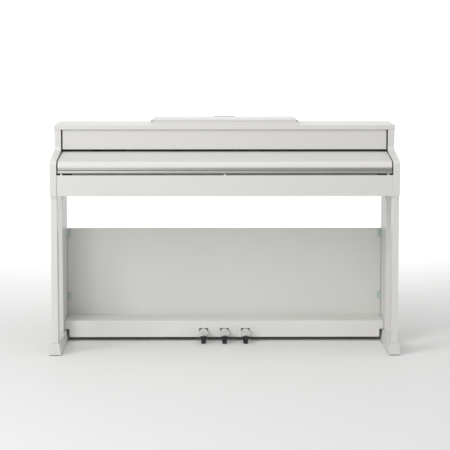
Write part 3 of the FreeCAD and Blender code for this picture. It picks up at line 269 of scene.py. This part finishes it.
def polish_group():
    """Polished metal with faint cloudy smears from handling."""
    tree, source, sink, place = effect("Handled Polish")
    smear = noise(tree, place, source["Scale"], detail=5.0, Distortion=1.2)["Fac"]
    fine = noise(tree, place, FINE_SCALE, detail=2.0)["Fac"]
    held = between(tree, smear, low=0.45, high=0.75)
    return finish_group(tree, source, sink, held, spread=0.10, height=fine)


def track_group():
    """Copper tracks under solder resist."""
    tree, source, sink, place = effect("Circuit Tracks")
    first, second = TRACK_COLOURS
    tracks = add(tree, "ShaderNodeTexBrick", {
        "Vector": place, "Color1": first, "Color2": second, "Mortar": WHITE,
        "Scale": source["Scale"], "Mortar Size": TRACK_WIDTH})
    mask = add(tree, "ShaderNodeRGBToBW", {"Color": tracks.outputs["Color"]}).outputs[0]
    return finish_group(tree, source, sink, mask, spread=-0.15, height=mask)


# ---- finishes ----

EFFECTS = {}
MAKERS = {"lacquer": lacquer_group, "brushed": brushed_group, "grain": grain_group,
          "fibre": fibre_group, "polish": polish_group, "tracks": track_group}


def material(name, kind, base, shade, rough, scale, relief, depth, shader=None):
    """A Principled material whose colour, roughness and relief come from a shared effect."""
    if kind not in EFFECTS:
        EFFECTS[kind] = MAKERS[kind]()
    item = bpy.data.materials.new(name)
    item.use_nodes = True
    tree = item.node_tree
    tree.nodes.clear()
    group = add(tree, "ShaderNodeGroup", node_tree=EFFECTS[kind])
    for key, value in (("Colour", (*base, 1.0)), ("Shade", (*shade, 1.0)),
                       ("Roughness", rough), ("Scale", scale)):
        feed(tree, group.inputs[key], value)
    bump = add(tree, "ShaderNodeBump", {"Height": group.outputs["Height"],
                                        "Strength": relief, "Distance": depth})
    body = add(tree, "ShaderNodeBsdfPrincipled", {"Base Color": group.outputs["Colour"],
                                                  "Roughness": group.outputs["Roughness"],
                                                  "Normal": bump.outputs[0], **(shader or {})})
    add(tree, "ShaderNodeOutputMaterial", {"Surface": body.outputs[0]})
    return item


def shaded(rgb, factor):
    """A colour made darker by a factor below 1, or lighter by one above."""
    return tuple(channel * factor for channel in rgb)


# The colour and the shade of plain moulded and pressed parts.
BLACK_KEY_SHADE = (0.022, 0.022, 0.023)
BLACK_PLASTIC = ((0.018, 0.018, 0.019), (0.028, 0.028, 0.029))
GREY_PLASTIC = ((0.11, 0.11, 0.115), (0.13, 0.13, 0.135))
NYLON = ((0.70, 0.69, 0.65), (0.62, 0.61, 0.57))
CONE_PAPER = ((0.03, 0.03, 0.031), (0.05, 0.05, 0.05))

# Further shader inputs.
METAL = {"Metallic": 1.0}
COAT = {"Coat Weight": 0.12, "Coat Roughness": 0.25}
KEY_COAT = {"Coat Weight": 0.3, "Coat Roughness": 0.12}
FELT_SHEEN = {"Sheen Weight": 0.5}
CLEAR = {"Transmission Weight": 0.15, "IOR": 1.46}

FINISHES = {}


def finishes():
    """Every finish by name, made once."""
    if FINISHES:
        return FINISHES
    own = bpy.context.scene.piano_finish
    rough = own.lacquer_rough
    shade_lifted_rough = rough + 0.06
    # Effect, colour, shade, roughness, scale, relief, depth of the relief, further inputs.
    table = {
        "lacquer": ("lacquer", own.lacquer, own.lacquer_shade, rough, 1.6, 0.04, 0.0004, COAT),
        # Painted light: a lightened copy of the boards' lacquer, set against the shade under the
        # case.
        "inner lacquer": ("lacquer", own.shade_lifted_lacquer, shaded(own.shade_lifted_lacquer, 0.95),
                          shade_lifted_rough, 1.6, 0.04, 0.0004, COAT),
        "hardboard": ("fibre", own.hardboard, shaded(own.hardboard, 0.9),
                      0.62, 260.0, 0.3, 0.0004),
        "handle": ("brushed", own.handle, shaded(own.handle, 0.86),
                   0.30, 9.0, 0.12, 0.0002, METAL),
        "dark metal": ("brushed", own.dark_metal, shaded(own.dark_metal, 0.75),
                       0.34, 9.0, 0.15, 0.0002, METAL),
        "steel": ("brushed", own.steel, shaded(own.steel, 0.82), 0.30, 14.0, 0.12, 0.0002, METAL),
        "chrome": ("polish", own.chrome, shaded(own.chrome, 0.93),
                   0.07, 26.0, 0.03, 0.0002, METAL),
        "white key": ("polish", own.white_key, shaded(own.white_key, 0.97),
                      0.24, 14.0, 0.04, 0.0002, KEY_COAT),
        "black key": ("grain", own.black_key, BLACK_KEY_SHADE, 0.44, 1400.0, 0.3, 0.0003),
        "black plastic": ("grain", *BLACK_PLASTIC, 0.48, 1200.0, 0.3, 0.0003),
        "grey plastic": ("grain", *GREY_PLASTIC, 0.5, 900.0, 0.25, 0.0003),
        "felt": ("fibre", own.felt, shaded(own.felt, 0.55), 0.9, 600.0, 0.6, 0.0008, FELT_SHEEN),
        "circuit": ("tracks", own.circuit, own.copper, 0.42, 90.0, 0.3, 0.0002),
        "black rubber": ("grain", own.rubber, shaded(own.rubber, 1.8),
                         0.58, 700.0, 0.35, 0.0004),
        "pale rubber": ("grain", own.pale_rubber, shaded(own.pale_rubber, 0.92),
                        0.5, 700.0, 0.2, 0.0003),
        "nylon": ("grain", *NYLON, 0.4, 500.0, 0.15, 0.0003),
        "bracket": ("grain", own.bracket, shaded(own.bracket, 0.85),
                    0.32, 500.0, 0.12, 0.0003, CLEAR),
        "cone": ("fibre", *CONE_PAPER, 0.8, 420.0, 0.5, 0.0006),
    }
    for name, values in table.items():
        FINISHES[name] = material(name.title(), *values)
    return FINISHES


# ---- mesh helpers ----

# Vertices nearer than this are one vertex, in a CAD node and in a new piece.
CAD_MERGE = 0.000005
PIECE_MERGE = 0.000001

# Edges sharper than these, in degrees, are rounded on a CAD node and kept sharp on a new piece.
ROUNDED_ANGLE = 40.0
SHARP_ANGLE = 38.0

# Turns a piece spun round Z onto another axis.
TURNS = {"x": Matrix.Rotation(math.radians(90), 4, "Y"),
         "y": Matrix.Rotation(math.radians(-90), 4, "X"),
         "z": Matrix.Identity(4)}


def dress(names, finish):
    """Gives CAD nodes a finish."""
    for name in names:
        item = NODES[name]
        if not item.material_slots:
            raise RuntimeError("no material slot on " + name)
        for place in item.material_slots:
            place.material = finishes()[finish]


def soften(names, width, segments=2):
    """Rounds the sharp edges of CAD nodes with modifiers, leaving their meshes alone."""
    for name in names:
        item = NODES[name]
        weld = item.modifiers.new("Join", "WELD")
        weld.merge_threshold = CAD_MERGE
        rounding = item.modifiers.new("Round", "BEVEL")
        rounding.width = width
        rounding.segments = segments
        rounding.limit_method = "ANGLE"
        rounding.angle_limit = math.radians(ROUNDED_ANGLE)


def new_piece(name, bm, finish, body, replaced, subdivide=0):
    """Turns a bmesh into a finished piece that rides on a body."""
    bmesh.ops.remove_doubles(bm, verts=bm.verts, dist=PIECE_MERGE)
    bmesh.ops.recalc_face_normals(bm, faces=bm.faces)
    for face in bm.faces:
        face.smooth = True
    mesh = bpy.data.meshes.new(name)
    bm.to_mesh(mesh)
    bm.free()
    mesh.materials.append(finishes()[finish])
    mesh.set_sharp_from_angle(angle=math.radians(SHARP_ANGLE))
    item = bpy.data.objects.new(name, mesh)
    bpy.context.scene.collection.objects.link(item)
    if subdivide:
        rounder = item.modifiers.new("Smooth", "SUBSURF")
        rounder.levels = subdivide
        rounder.render_levels = subdivide
    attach(item, body)
    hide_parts(*replaced)
    return item


def turn(bm, profile, centre, axis="z", steps=48):
    """Turns a profile of (radius, height) points round an axis through a centre."""
    verts = [bm.verts.new((radius, 0.0, height)) for radius, height in profile]
    edges = [bm.edges.new(pair) for pair in zip(verts, verts[1:])]
    made = bmesh.ops.spin(bm, geom=verts + edges, cent=(0, 0, 0), axis=(0, 0, 1),
                          angle=math.tau, steps=steps, use_merge=True)
    found = {vert for vert in made["geom_last"] if isinstance(vert, bmesh.types.BMVert)}
    found |= set(verts)
    while True:
        grown = found | {edge.other_vert(vert) for vert in found for edge in vert.link_edges}
        if len(grown) == len(found):
            break
        found = grown
    bmesh.ops.transform(bm, matrix=Matrix.Translation(centre) @ TURNS[axis], verts=list(found))


def islands(name):
    """Boxes of the separate solids of a node, from left to right, as (low, high) corners."""
    bm = bmesh.new()
    bm.from_mesh(NODES[name].data)
    bmesh.ops.remove_doubles(bm, verts=bm.verts, dist=CAD_MERGE)
    left = set(bm.verts)
    boxes = []
    while left:
        group, waiting = set(), [left.pop()]
        while waiting:
            vert = waiting.pop()
            group.add(vert)
            for link in vert.link_edges:
                other = link.other_vert(vert)
                if other in left:
                    left.discard(other)
                    waiting.append(other)
        places = [vert.co for vert in group]
        boxes.append((Vector(min(p[i] for p in places) for i in range(3)),
                      Vector(max(p[i] for p in places) for i in range(3))))
    bm.free()
    return sorted(boxes, key=lambda pair: tuple(round(value, 4) for value in pair[0]))


def turn_upright(name, profile_of, steps=48):
    """Turns an upright piece in place of each solid of a node, from its radius and height."""
    bm = bmesh.new()
    for low, high in islands(name):
        middle = (low + high) / 2
        profile = profile_of((high.x - low.x) / 2, high.z - low.z)
        turn(bm, profile, (middle.x, middle.y, low.z), steps=steps)
    return bm


# ---- operators ----

class PianoOperator:
    """Shared by the piano's operators."""

    bl_options = {"REGISTER", "UNDO"}


class PIANO_OT_case(PianoOperator, bpy.types.Operator):
    """Lacquers the case, the music rest and the stand"""

    bl_idname = "piano.case"
    bl_label = "Case And Stand"

    def execute(self, context):
        dress(("left_cheek", "right_cheek", "lid", "key_slip", "upper_panel", "key_bed",
               "fallboard", "music_rest_base", "music_rest_plate", "legs", "side_boards",
               "feet"), "lacquer")
        # The back board and pedal box take the lightened copy of the lacquer, painted light against
        # the shade under the case.
        dress(("back_board", "pedal_box"), "inner lacquer")
        dress(("case_back",), "hardboard")
        soften(("music_rest_base", "key_bed"), context.scene.piano_pieces.edge)
        return {"FINISHED"}


class PIANO_OT_metalwork(PianoOperator, bpy.types.Operator):
    """Finishes the handle, rails, brackets, shafts and hinges"""

    bl_idname = "piano.metalwork"
    bl_label = "Metalwork"

    def execute(self, context):
        dress(("fallboard_handle",), "handle")
        dress(("fallboard_rails", "synchro_shaft", "music_rest_stay", "key_pivot_rod",
               "stand_brackets", "pedal_frame", "pedal_axle"), "steel")
        dress(("fallboard_brackets", "music_rest_hinges", "music_rest_finger_strip",
               "speaker_frames"), "dark metal")
        soften(("fallboard_handle", "stand_brackets", "music_rest_finger_strip"),
               context.scene.piano_pieces.metal_edge)
        return {"FINISHED"}


class PIANO_OT_keys(PianoOperator, bpy.types.Operator):
    """Finishes the keys, their frame, felts and sensor board"""

    bl_idname = "piano.keys"
    bl_label = "Keyboard"

    SHARP_ROUNDING = 1.6

    def execute(self, context):
        edge = context.scene.piano_pieces.edge
        naturals = ["keys_" + note for note in NATURALS]
        sharps = ["keys_" + note for note in SHARPS]
        dress(naturals, "white key")
        soften(naturals, edge)
        dress(sharps, "black key")
        soften(sharps, self.SHARP_ROUNDING * edge, segments=3)
        dress(("key_frame",), "grey plastic")
        dress(("key_stop_felts",), "felt")
        dress(("sensor_board",), "circuit")
        return {"FINISHED"}


class PIANO_OT_controls(PianoOperator, bpy.types.Operator):
    """Finishes the key blocks, buttons, slider, jack panel, grilles, circuits and mouldings"""

    bl_idname = "piano.controls"
    bl_label = "Controls And Mouldings"

    def execute(self, context):
        pieces = context.scene.piano_pieces
        black = ("key_blocks", "jack_panel", "speaker_grilles")
        grey = ("power_button", "function_button", "volume_slider")
        dress(black, "black plastic")
        dress(grey, "grey plastic")
        soften(black + grey, 0.5 * pieces.edge)
        dress(("circuit_boards",), "circuit")
        dress(("glide_shoes",), "nylon")
        dress(("corner_brackets",), "bracket")
        soften(("corner_brackets",), pieces.bracket_edge)
        return {"FINISHED"}


class PIANO_OT_bumpers(PianoOperator, bpy.types.Operator):
    """Makes the domed bumpers that the closed fallboard rests over"""

    bl_idname = "piano.bumpers"
    bl_label = "Bumpers"

    def execute(self, context):
        dome = context.scene.piano_pieces.bumper_dome
        shoulder = 0.3 * dome

        def profile(radius, tall):
            return [(0.0, 0.0), (radius, 0.0), (radius, tall - dome),
                    (radius - shoulder, tall - shoulder), (radius - dome, tall), (0.0, tall)]

        bm = turn_upright("slip_bumpers", profile, steps=32)
        new_piece("rubber_bumpers", bm, "pale rubber", "body",
                  replaced=("slip_bumpers",))
        return {"FINISHED"}


class PIANO_OT_pedals(PianoOperator, bpy.types.Operator):
    """Makes the three polished pedals with their spoon-shaped heads"""

    bl_idname = "piano.pedals"
    bl_label = "Pedals"

    AXLE = (0.0, 0.185, 0.047)
    # The hub: its bore, and one of its two chamfers as (radius, distance from its middle).
    BORE = 0.0042
    HUB = ((0.0079, 0.0135), (0.0084, 0.0128))
    HEEL_GAP = 0.0065

    # Cuts of the lever along, across and up; the cuts lie closer together near the tip.
    CUTS = (33, 5, 1)
    CROWDING = 1.6

    # Widths of the head and the neck against the distance from the tip.
    HEAD_END = 0.017
    NECK_START = 0.064
    TIP_WIDTH = 0.30
    NECK_WIDTH = 0.0119

    # Heights of the top and the underside, as (distance from the tip, height).
    TOP = ((0.0, 0.0388), (0.003, 0.0415), (0.012, 0.0438), (0.034, 0.0498), (0.062, 0.0538),
           (0.2, 0.0538))
    UNDER = ((0.0, 0.0374), (0.003, 0.0355), (0.012, 0.0358), (0.034, 0.0412), (0.062, 0.0442),
             (0.2, 0.0402))

    # The crown across the lever and the shallow bowl in its head.
    CROWN = 0.0016
    CROWN_START = 0.01
    CROWN_UNDER = 0.4
    BOWL = 0.0011
    BOWL_PLACE = 0.019
    BOWL_REACH = 0.017

    def execute(self, context):
        for name in PEDALS:
            self.pedal(name)
        return {"FINISHED"}

    def pedal(self, name):
        """One pedal: a bar shaped to the lever, and a round hub on the axle."""
        low, high = (Vector(corner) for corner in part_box(name))
        axle = Vector(self.AXLE)
        middle = (low.x + high.x) / 2
        half_head = (high.x - low.x) / 2
        tip, heel = low.y, axle.y - self.HEEL_GAP
        bm = bmesh.new()
        bmesh.ops.create_cube(bm, size=1.0)
        for axis, cuts in zip((1, 0, 2), self.CUTS):
            edges = [edge for edge in bm.edges
                     if abs((edge.verts[0].co - edge.verts[1].co)[axis]) > 0.5]
            bmesh.ops.subdivide_edges(bm, edges=edges, cuts=cuts, use_grid_fill=True)
        for vert in bm.verts:
            reach = (heel - tip) * (vert.co.y + 0.5) ** self.CROWDING
            across = 2 * vert.co.x
            half = self.half_width(reach, half_head)
            height = self.height(reach, across, vert.co.z)
            vert.co = Vector((middle + half * across, tip + reach, height))
        half_hub = self.HUB[0][1]
        hub = [(self.BORE, -half_hub)]
        hub += [(radius, -along) for radius, along in self.HUB]
        hub += [(radius, along) for radius, along in reversed(self.HUB)]
        hub += [(self.BORE, half_hub), hub[0]]
        turn(bm, hub, (middle, axle.y, axle.z), axis="x", steps=40)
        new_piece("polished_" + name, bm, "chrome", name, replaced=(name,), subdivide=1)

    def half_width(self, reach, head):
        """Half width at a distance from the tip: round tip, full head, waisted neck."""
        if reach < self.HEAD_END:
            arc = math.sqrt(max(0.0, 1 - (1 - reach / self.HEAD_END) ** 2))
            return head * (self.TIP_WIDTH + (1 - self.TIP_WIDTH) * arc)
        if reach < self.NECK_START:
            ease = self.ease((reach - self.HEAD_END) / (self.NECK_START - self.HEAD_END))
            return head + (self.NECK_WIDTH - head) * ease
        return self.NECK_WIDTH

    def height(self, reach, across, layer):
        """Height of a vertex of the bar's top, middle or underside."""
        top, under = self.curve(reach, self.TOP), self.curve(reach, self.UNDER)
        crown = self.CROWN * across * across * min(1.0, reach / self.CROWN_START)
        depth = max(0.0, 1 - abs(reach - self.BOWL_PLACE) / self.BOWL_REACH)
        bowl = -self.BOWL * (1 - across * across) * depth
        if abs(layer) <= 0.1:
            return (top + under) / 2
        return top - crown + bowl if layer > 0 else under + self.CROWN_UNDER * crown

    @staticmethod
    def ease(share):
        """A share from 0 to 1 with soft ends."""
        return share * share * (3 - 2 * share)

    def curve(self, reach, points):
        """Height at a distance from the tip, partly eased between the points."""
        for (start, first), (end, last) in zip(points, points[1:]):
            if reach <= end:
                share = (reach - start) / (end - start)
                return first + (last - first) * (self.ease(share) + share) * 0.5
        return points[-1][1]


class PIANO_OT_pedal_rests(PianoOperator, bpy.types.Operator):
    """Makes the ribbed rubber rests under the pedals"""

    bl_idname = "piano.pedal_rests"
    bl_label = "Pedal Rests"

    # The foot's and the neck's radius as shares of the cap's.
    FOOT = 0.5
    NECK = 0.68
    FOOT_EDGE = 0.001

    # The ribs stand between grooves: the number of spans, half of a groove's length at its
    # mouth and at its floor, and how far its lower lip is set in.
    SPANS = 4
    GROOVE = 0.0008
    GROOVE_FLOOR = 0.0004
    GROOVE_LIP = 0.0002

    # Inwards from the cap's rim, and up from its underside or down from its top.
    LOWER_EDGE = ((0.001, 0.0), (0.0002, 0.0005), (0.0, 0.0012))
    UPPER_EDGE = ((0.0, 0.0014), (0.0004, 0.0004), (0.0014, 0.0), (0.006, 0.0), (0.0068, 0.0007))

    def execute(self, context):
        pieces = context.scene.piano_pieces

        def profile(cap, tall):
            brim = tall - pieces.cap
            foot, neck = self.FOOT * cap, self.NECK * cap
            points = [(0.0, 0.0), (foot - self.FOOT_EDGE, 0.0), (foot, self.FOOT_EDGE)]
            for index in range(1, self.SPANS):
                height = brim * index / self.SPANS
                radius = foot + (neck - foot) * index / self.SPANS
                edge = radius - self.GROOVE_LIP
                points += [(edge, height - self.GROOVE),
                           (edge - pieces.rib, height - self.GROOVE_FLOOR),
                           (edge - pieces.rib, height + self.GROOVE_FLOOR),
                           (radius, height + self.GROOVE)]
            points += [(neck, brim)]
            # The wide cap, from the brim to the top, is painted shade in black rubber under the
            # pedal's head.
            points += [(cap - inward, brim + up) for inward, up in self.LOWER_EDGE]
            points += [(cap - inward, tall - down) for inward, down in self.UPPER_EDGE]
            return points + [(0.0, tall - self.UPPER_EDGE[-1][1])]

        bm = turn_upright("pedal_rests", profile)
        new_piece("rubber_pedal_rests", bm, "black rubber", "body",
                  replaced=("pedal_rests",))
        return {"FINISHED"}


class PIANO_OT_pedal_springs(PianoOperator, bpy.types.Operator):
    """Winds the pedals' return springs"""

    bl_idname = "piano.pedal_springs"
    bl_label = "Pedal Springs"

    WIRE_SIDES = 10
    STEPS_PER_TURN = 24

    def execute(self, context):
        pieces = context.scene.piano_pieces
        wire = pieces.wire
        steps = self.STEPS_PER_TURN * pieces.turns
        bm = bmesh.new()
        for low, high in islands("pedal_springs"):
            middle = (low + high) / 2
            radius = (high.z - low.z) / 2 - wire
            made = bmesh.ops.create_circle(bm, cap_ends=True, segments=self.WIRE_SIDES, radius=wire)
            start = Matrix.Translation((low.x + wire, middle.y, middle.z + radius))
            upright = Matrix.Rotation(math.radians(90), 4, "X")
            bmesh.ops.transform(bm, matrix=start @ upright, verts=made["verts"])
            faces = list({face for vert in made["verts"] for face in vert.link_faces})
            rise = (high.x - low.x - 2 * wire) / steps
            bmesh.ops.spin(bm, geom=faces, cent=middle, axis=(1, 0, 0), dvec=(rise, 0, 0),
                           angle=math.tau * pieces.turns, steps=steps)
        new_piece("wound_pedal_springs", bm, "steel", "body",
                  replaced=("pedal_springs",))
        return {"FINISHED"}


class PIANO_OT_screws(PianoOperator, bpy.types.Operator):
    """Makes the domed screw heads, each with a round recess"""

    bl_idname = "piano.screws"
    bl_label = "Screws"

    # A head as shares of its radius and of its thickness.
    HEAD = ((0.0, 0.0), (1.0, 0.0), (1.0, 0.25), (0.86, 0.7), (0.55, 1.0), (0.42, 1.0),
            (0.34, 0.3), (0.0, 0.3))

    def execute(self, context):
        bm = bmesh.new()
        for low, high in islands("screws"):
            size = high - low
            base = (low + high) / 2
            thick = min(size.x, size.y)
            if size.y < size.x:
                axis, base.y = "y", low.y
            elif base.x < 0:
                axis, base.x = "x", low.x
            else:
                axis, base.x, thick = "x", high.x, -thick
            head = [(radius * size.z / 2, height * thick) for radius, height in self.HEAD]
            turn(bm, head, base, axis=axis, steps=16)
        new_piece("screw_heads", bm, "steel", "body", replaced=("screws",))
        return {"FINISHED"}


class PIANO_OT_glides(PianoOperator, bpy.types.Operator):
    """Makes the rounded rubber glides under the feet"""

    bl_idname = "piano.glides"
    bl_label = "Foot Glides"

    # Inwards from the rim and up from the floor.
    EDGE = ((0.0015, 0.0), (0.0004, 0.0006), (0.0, 0.0016))

    def execute(self, context):
        def profile(radius, tall):
            edge = [(radius - inward, up) for inward, up in self.EDGE]
            return [(0.0, 0.0)] + edge + [(radius, tall), (0.0, tall)]

        bm = turn_upright("foot_glides", profile)
        new_piece("rubber_glides", bm, "black rubber", "body",
                  replaced=("foot_glides",))
        return {"FINISHED"}


class PIANO_OT_speakers(PianoOperator, bpy.types.Operator):
    """Makes the speaker cones with their rubber surrounds and dust caps"""

    bl_idname = "piano.speakers"
    bl_label = "Speakers"

    # The surround: its flange's height and width, then the roll and the cone's outer edge.
    FLANGE_HEIGHT = 0.0015
    FLANGE_WIDTH = 0.002
    ROLL_PLACE = 0.005
    ROLL_HALF_WIDTH = 0.003
    ROLL_BASE = 0.0005
    CONE_EDGE = 0.0095

    # The cone's neck and the dust cap: radii as shares of the rim's, heights from the far end.
    NECK = 0.35
    NECK_DEPTH = 0.003
    CAP = 0.33
    CAP_DEPTH = 0.004
    CAP_HEIGHT = 0.005
    PAPER = 0.0006

    def execute(self, context):
        roll = context.scene.piano_pieces.roll

        def profile(rim, deep):
            points = [(rim, self.FLANGE_HEIGHT), (rim, 0.0), (rim - self.FLANGE_WIDTH, 0.0)]
            for step in range(1, 6):
                angle = math.pi * (1 - step / 6)
                points.append((rim - self.ROLL_PLACE - self.ROLL_HALF_WIDTH * math.cos(angle),
                               self.ROLL_BASE + roll * math.sin(angle)))
            points += [(rim - self.CONE_EDGE, 0.0), (self.NECK * rim, deep - self.NECK_DEPTH)]
            for step in range(5):
                angle = math.pi / 2 * step / 5
                points.append((self.CAP * rim * math.cos(angle),
                               deep - self.CAP_DEPTH - self.CAP_HEIGHT * math.sin(angle)))
            return points + [(0.0, deep - self.CAP_DEPTH - self.CAP_HEIGHT)]

        bm = turn_upright("speaker_cones", profile)
        item = new_piece("paper_cones", bm, "cone", "body", replaced=("speaker_cones",))
        skin = item.modifiers.new("Thickness", "SOLIDIFY")
        skin.thickness = self.PAPER
        skin.offset = 0.0
        return {"FINISHED"}


class PIANO_OT_stage(PianoOperator, bpy.types.Operator):
    """Sets up the floor, the camera and the lights"""

    bl_idname = "piano.stage"
    bl_label = "Stage"

    # The backdrop's sheet: floor, curve and wall.
    HALF_WIDTH = 14.0
    FRONT = -9.0
    REAR = 6.0
    CURVE = 3.0
    CURVE_STEPS = 24
    WALL = 9.0

    SENSOR = 36.0
    VIEW_END = 100.0

    # Where the lights aim.
    PIANO = (0.0, 0.0, 0.6)
    BACKDROP = (0.0, 7.8, 1.8)

    # Each light's place, size, aim and property of its power.
    LIGHTS = {
        "key_light": ((-3.3, -3.1, 3.1), 2.6, PIANO, "key_power"),
        "fill_light": ((4.4, -0.9, 1.3), 2.4, PIANO, "fill_power"),
        "top_light": ((0.0, -1.4, 4.4), 3.6, PIANO, "top_power"),
        "strip_light": ((-1.3, -5.6, 1.0), 0.8, PIANO, "strip_power"),
        "wall_light": ((0.0, 4.0, 5.0), 4.0, BACKDROP, "wall_power"),
    }

    def execute(self, context):
        studio = context.scene.piano_studio
        self.backdrop(studio)
        self.camera(studio)
        self.lights(studio)
        self.room(studio)
        return {"FINISHED"}

    def backdrop(self, studio):
        """One sheet: the floor, then a wide curve up into the wall."""
        bm = bmesh.new()
        side = bm.edges.new([bm.verts.new((-self.HALF_WIDTH, y, 0.0))
                             for y in (self.FRONT, self.REAR)])
        self.pull(bm, [side], (2 * self.HALF_WIDTH, 0.0, 0.0))
        rear = [edge for edge in bm.edges if all(vert.co.y > 0 for vert in edge.verts)]
        rear_verts = list({vert for edge in rear for vert in edge.verts})
        made = bmesh.ops.spin(bm, geom=rear + rear_verts, cent=(0.0, self.REAR, self.CURVE),
                              axis=(1, 0, 0), angle=math.pi / 2, steps=self.CURVE_STEPS)
        top = [part for part in made["geom_last"] if isinstance(part, bmesh.types.BMEdge)]
        self.pull(bm, top, (0.0, 0.0, self.WALL))
        for face in bm.faces:
            face.smooth = True
        bmesh.ops.recalc_face_normals(bm, faces=bm.faces)
        mesh = bpy.data.meshes.new("backdrop")
        bm.to_mesh(mesh)
        bm.free()
        floor = material("Studio Floor", "lacquer", studio.floor, shaded(studio.floor, 0.99),
                         rough=0.75, scale=0.8, relief=0.05, depth=0.0002)
        mesh.materials.append(floor)
        item = bpy.data.objects.new("backdrop", mesh)
        bpy.context.scene.collection.objects.link(item)

    @staticmethod
    def pull(bm, edges, way):
        """Extrudes edges and moves the new ones."""
        made = bmesh.ops.extrude_edge_only(bm, edges=edges)
        verts = [part for part in made["geom"] if isinstance(part, bmesh.types.BMVert)]
        bmesh.ops.translate(bm, vec=way, verts=verts)

    def camera(self, studio):
        """The camera, looking slightly down with its lens shifted."""
        data = bpy.data.cameras.new("camera")
        data.lens = studio.lens
        data.sensor_width = self.SENSOR
        data.shift_y = studio.shift
        data.clip_end = self.VIEW_END
        item = bpy.data.objects.new("camera", data)
        item.location = studio.camera_place
        item.rotation_euler = (math.radians(90.0 - studio.camera_pitch), 0.0,
                               math.radians(studio.camera_yaw))
        bpy.context.scene.collection.objects.link(item)
        bpy.context.scene.camera = item

    def lights(self, studio):
        """Square area lights, each turned to what it lights."""
        for name, (place, size, aim, power) in self.LIGHTS.items():
            data = bpy.data.lights.new(name, "AREA")
            data.shape = "SQUARE"
            data.size = size
            data.energy = getattr(studio, power)
            item = bpy.data.objects.new(name, data)
            item.location = place
            towards = Vector(aim) - Vector(place)
            item.rotation_euler = towards.to_track_quat("-Z", "Y").to_euler()
            bpy.context.scene.collection.objects.link(item)

    def room(self, studio):
        """The even light of the room, and plain colour management."""
        world = bpy.data.worlds.new("studio")
        world.use_nodes = True
        background = world.node_tree.nodes["Background"]
        background.inputs["Color"].default_value = WHITE
        background.inputs["Strength"].default_value = studio.surround
        bpy.context.scene.world = world
        bpy.context.scene.view_settings.view_transform = "Standard"


STEPS = (PIANO_OT_stage, PIANO_OT_case, PIANO_OT_metalwork, PIANO_OT_keys, PIANO_OT_controls,
         PIANO_OT_bumpers, PIANO_OT_pedals, PIANO_OT_pedal_rests, PIANO_OT_pedal_springs,
         PIANO_OT_screws, PIANO_OT_glides, PIANO_OT_speakers)
GROUPS = (("piano_finish", PianoFinish), ("piano_pieces", PianoPieces),
          ("piano_studio", PianoStudio))


class PIANO_PT_panel(bpy.types.Panel):
    """Lists the piano's properties and steps."""

    bl_idname = "PIANO_PT_panel"
    bl_label = "Digital Piano"
    bl_space_type = "VIEW_3D"
    bl_region_type = "UI"
    bl_category = "Piano"

    def draw(self, context):
        """One box for each group of properties, then a button for each step."""
        for name, kind in GROUPS:
            box = self.layout.box()
            values = getattr(context.scene, name)
            for key in kind.__annotations__:
                box.prop(values, key)
        for step in STEPS:
            self.layout.operator(step.bl_idname)


def register():
    """Registers the classes and the groups of properties."""
    for kind in [group for _, group in GROUPS] + list(STEPS) + [PIANO_PT_panel]:
        bpy.utils.register_class(kind)
    for name, kind in GROUPS:
        setattr(bpy.types.Scene, name, bpy.props.PointerProperty(type=kind))


def unregister():
    """Removes the groups of properties and the classes."""
    for name, _ in GROUPS:
        delattr(bpy.types.Scene, name)
    for kind in [PIANO_PT_panel] + list(STEPS)[::-1] + [group for _, group in GROUPS]:
        bpy.utils.unregister_class(kind)


def main():
    """Registers the add-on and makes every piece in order."""
    register()
    for step in STEPS:
        family, action = step.bl_idname.split(".")
        getattr(getattr(bpy.ops, family), action)()


if __name__ == "__main__":
    main()
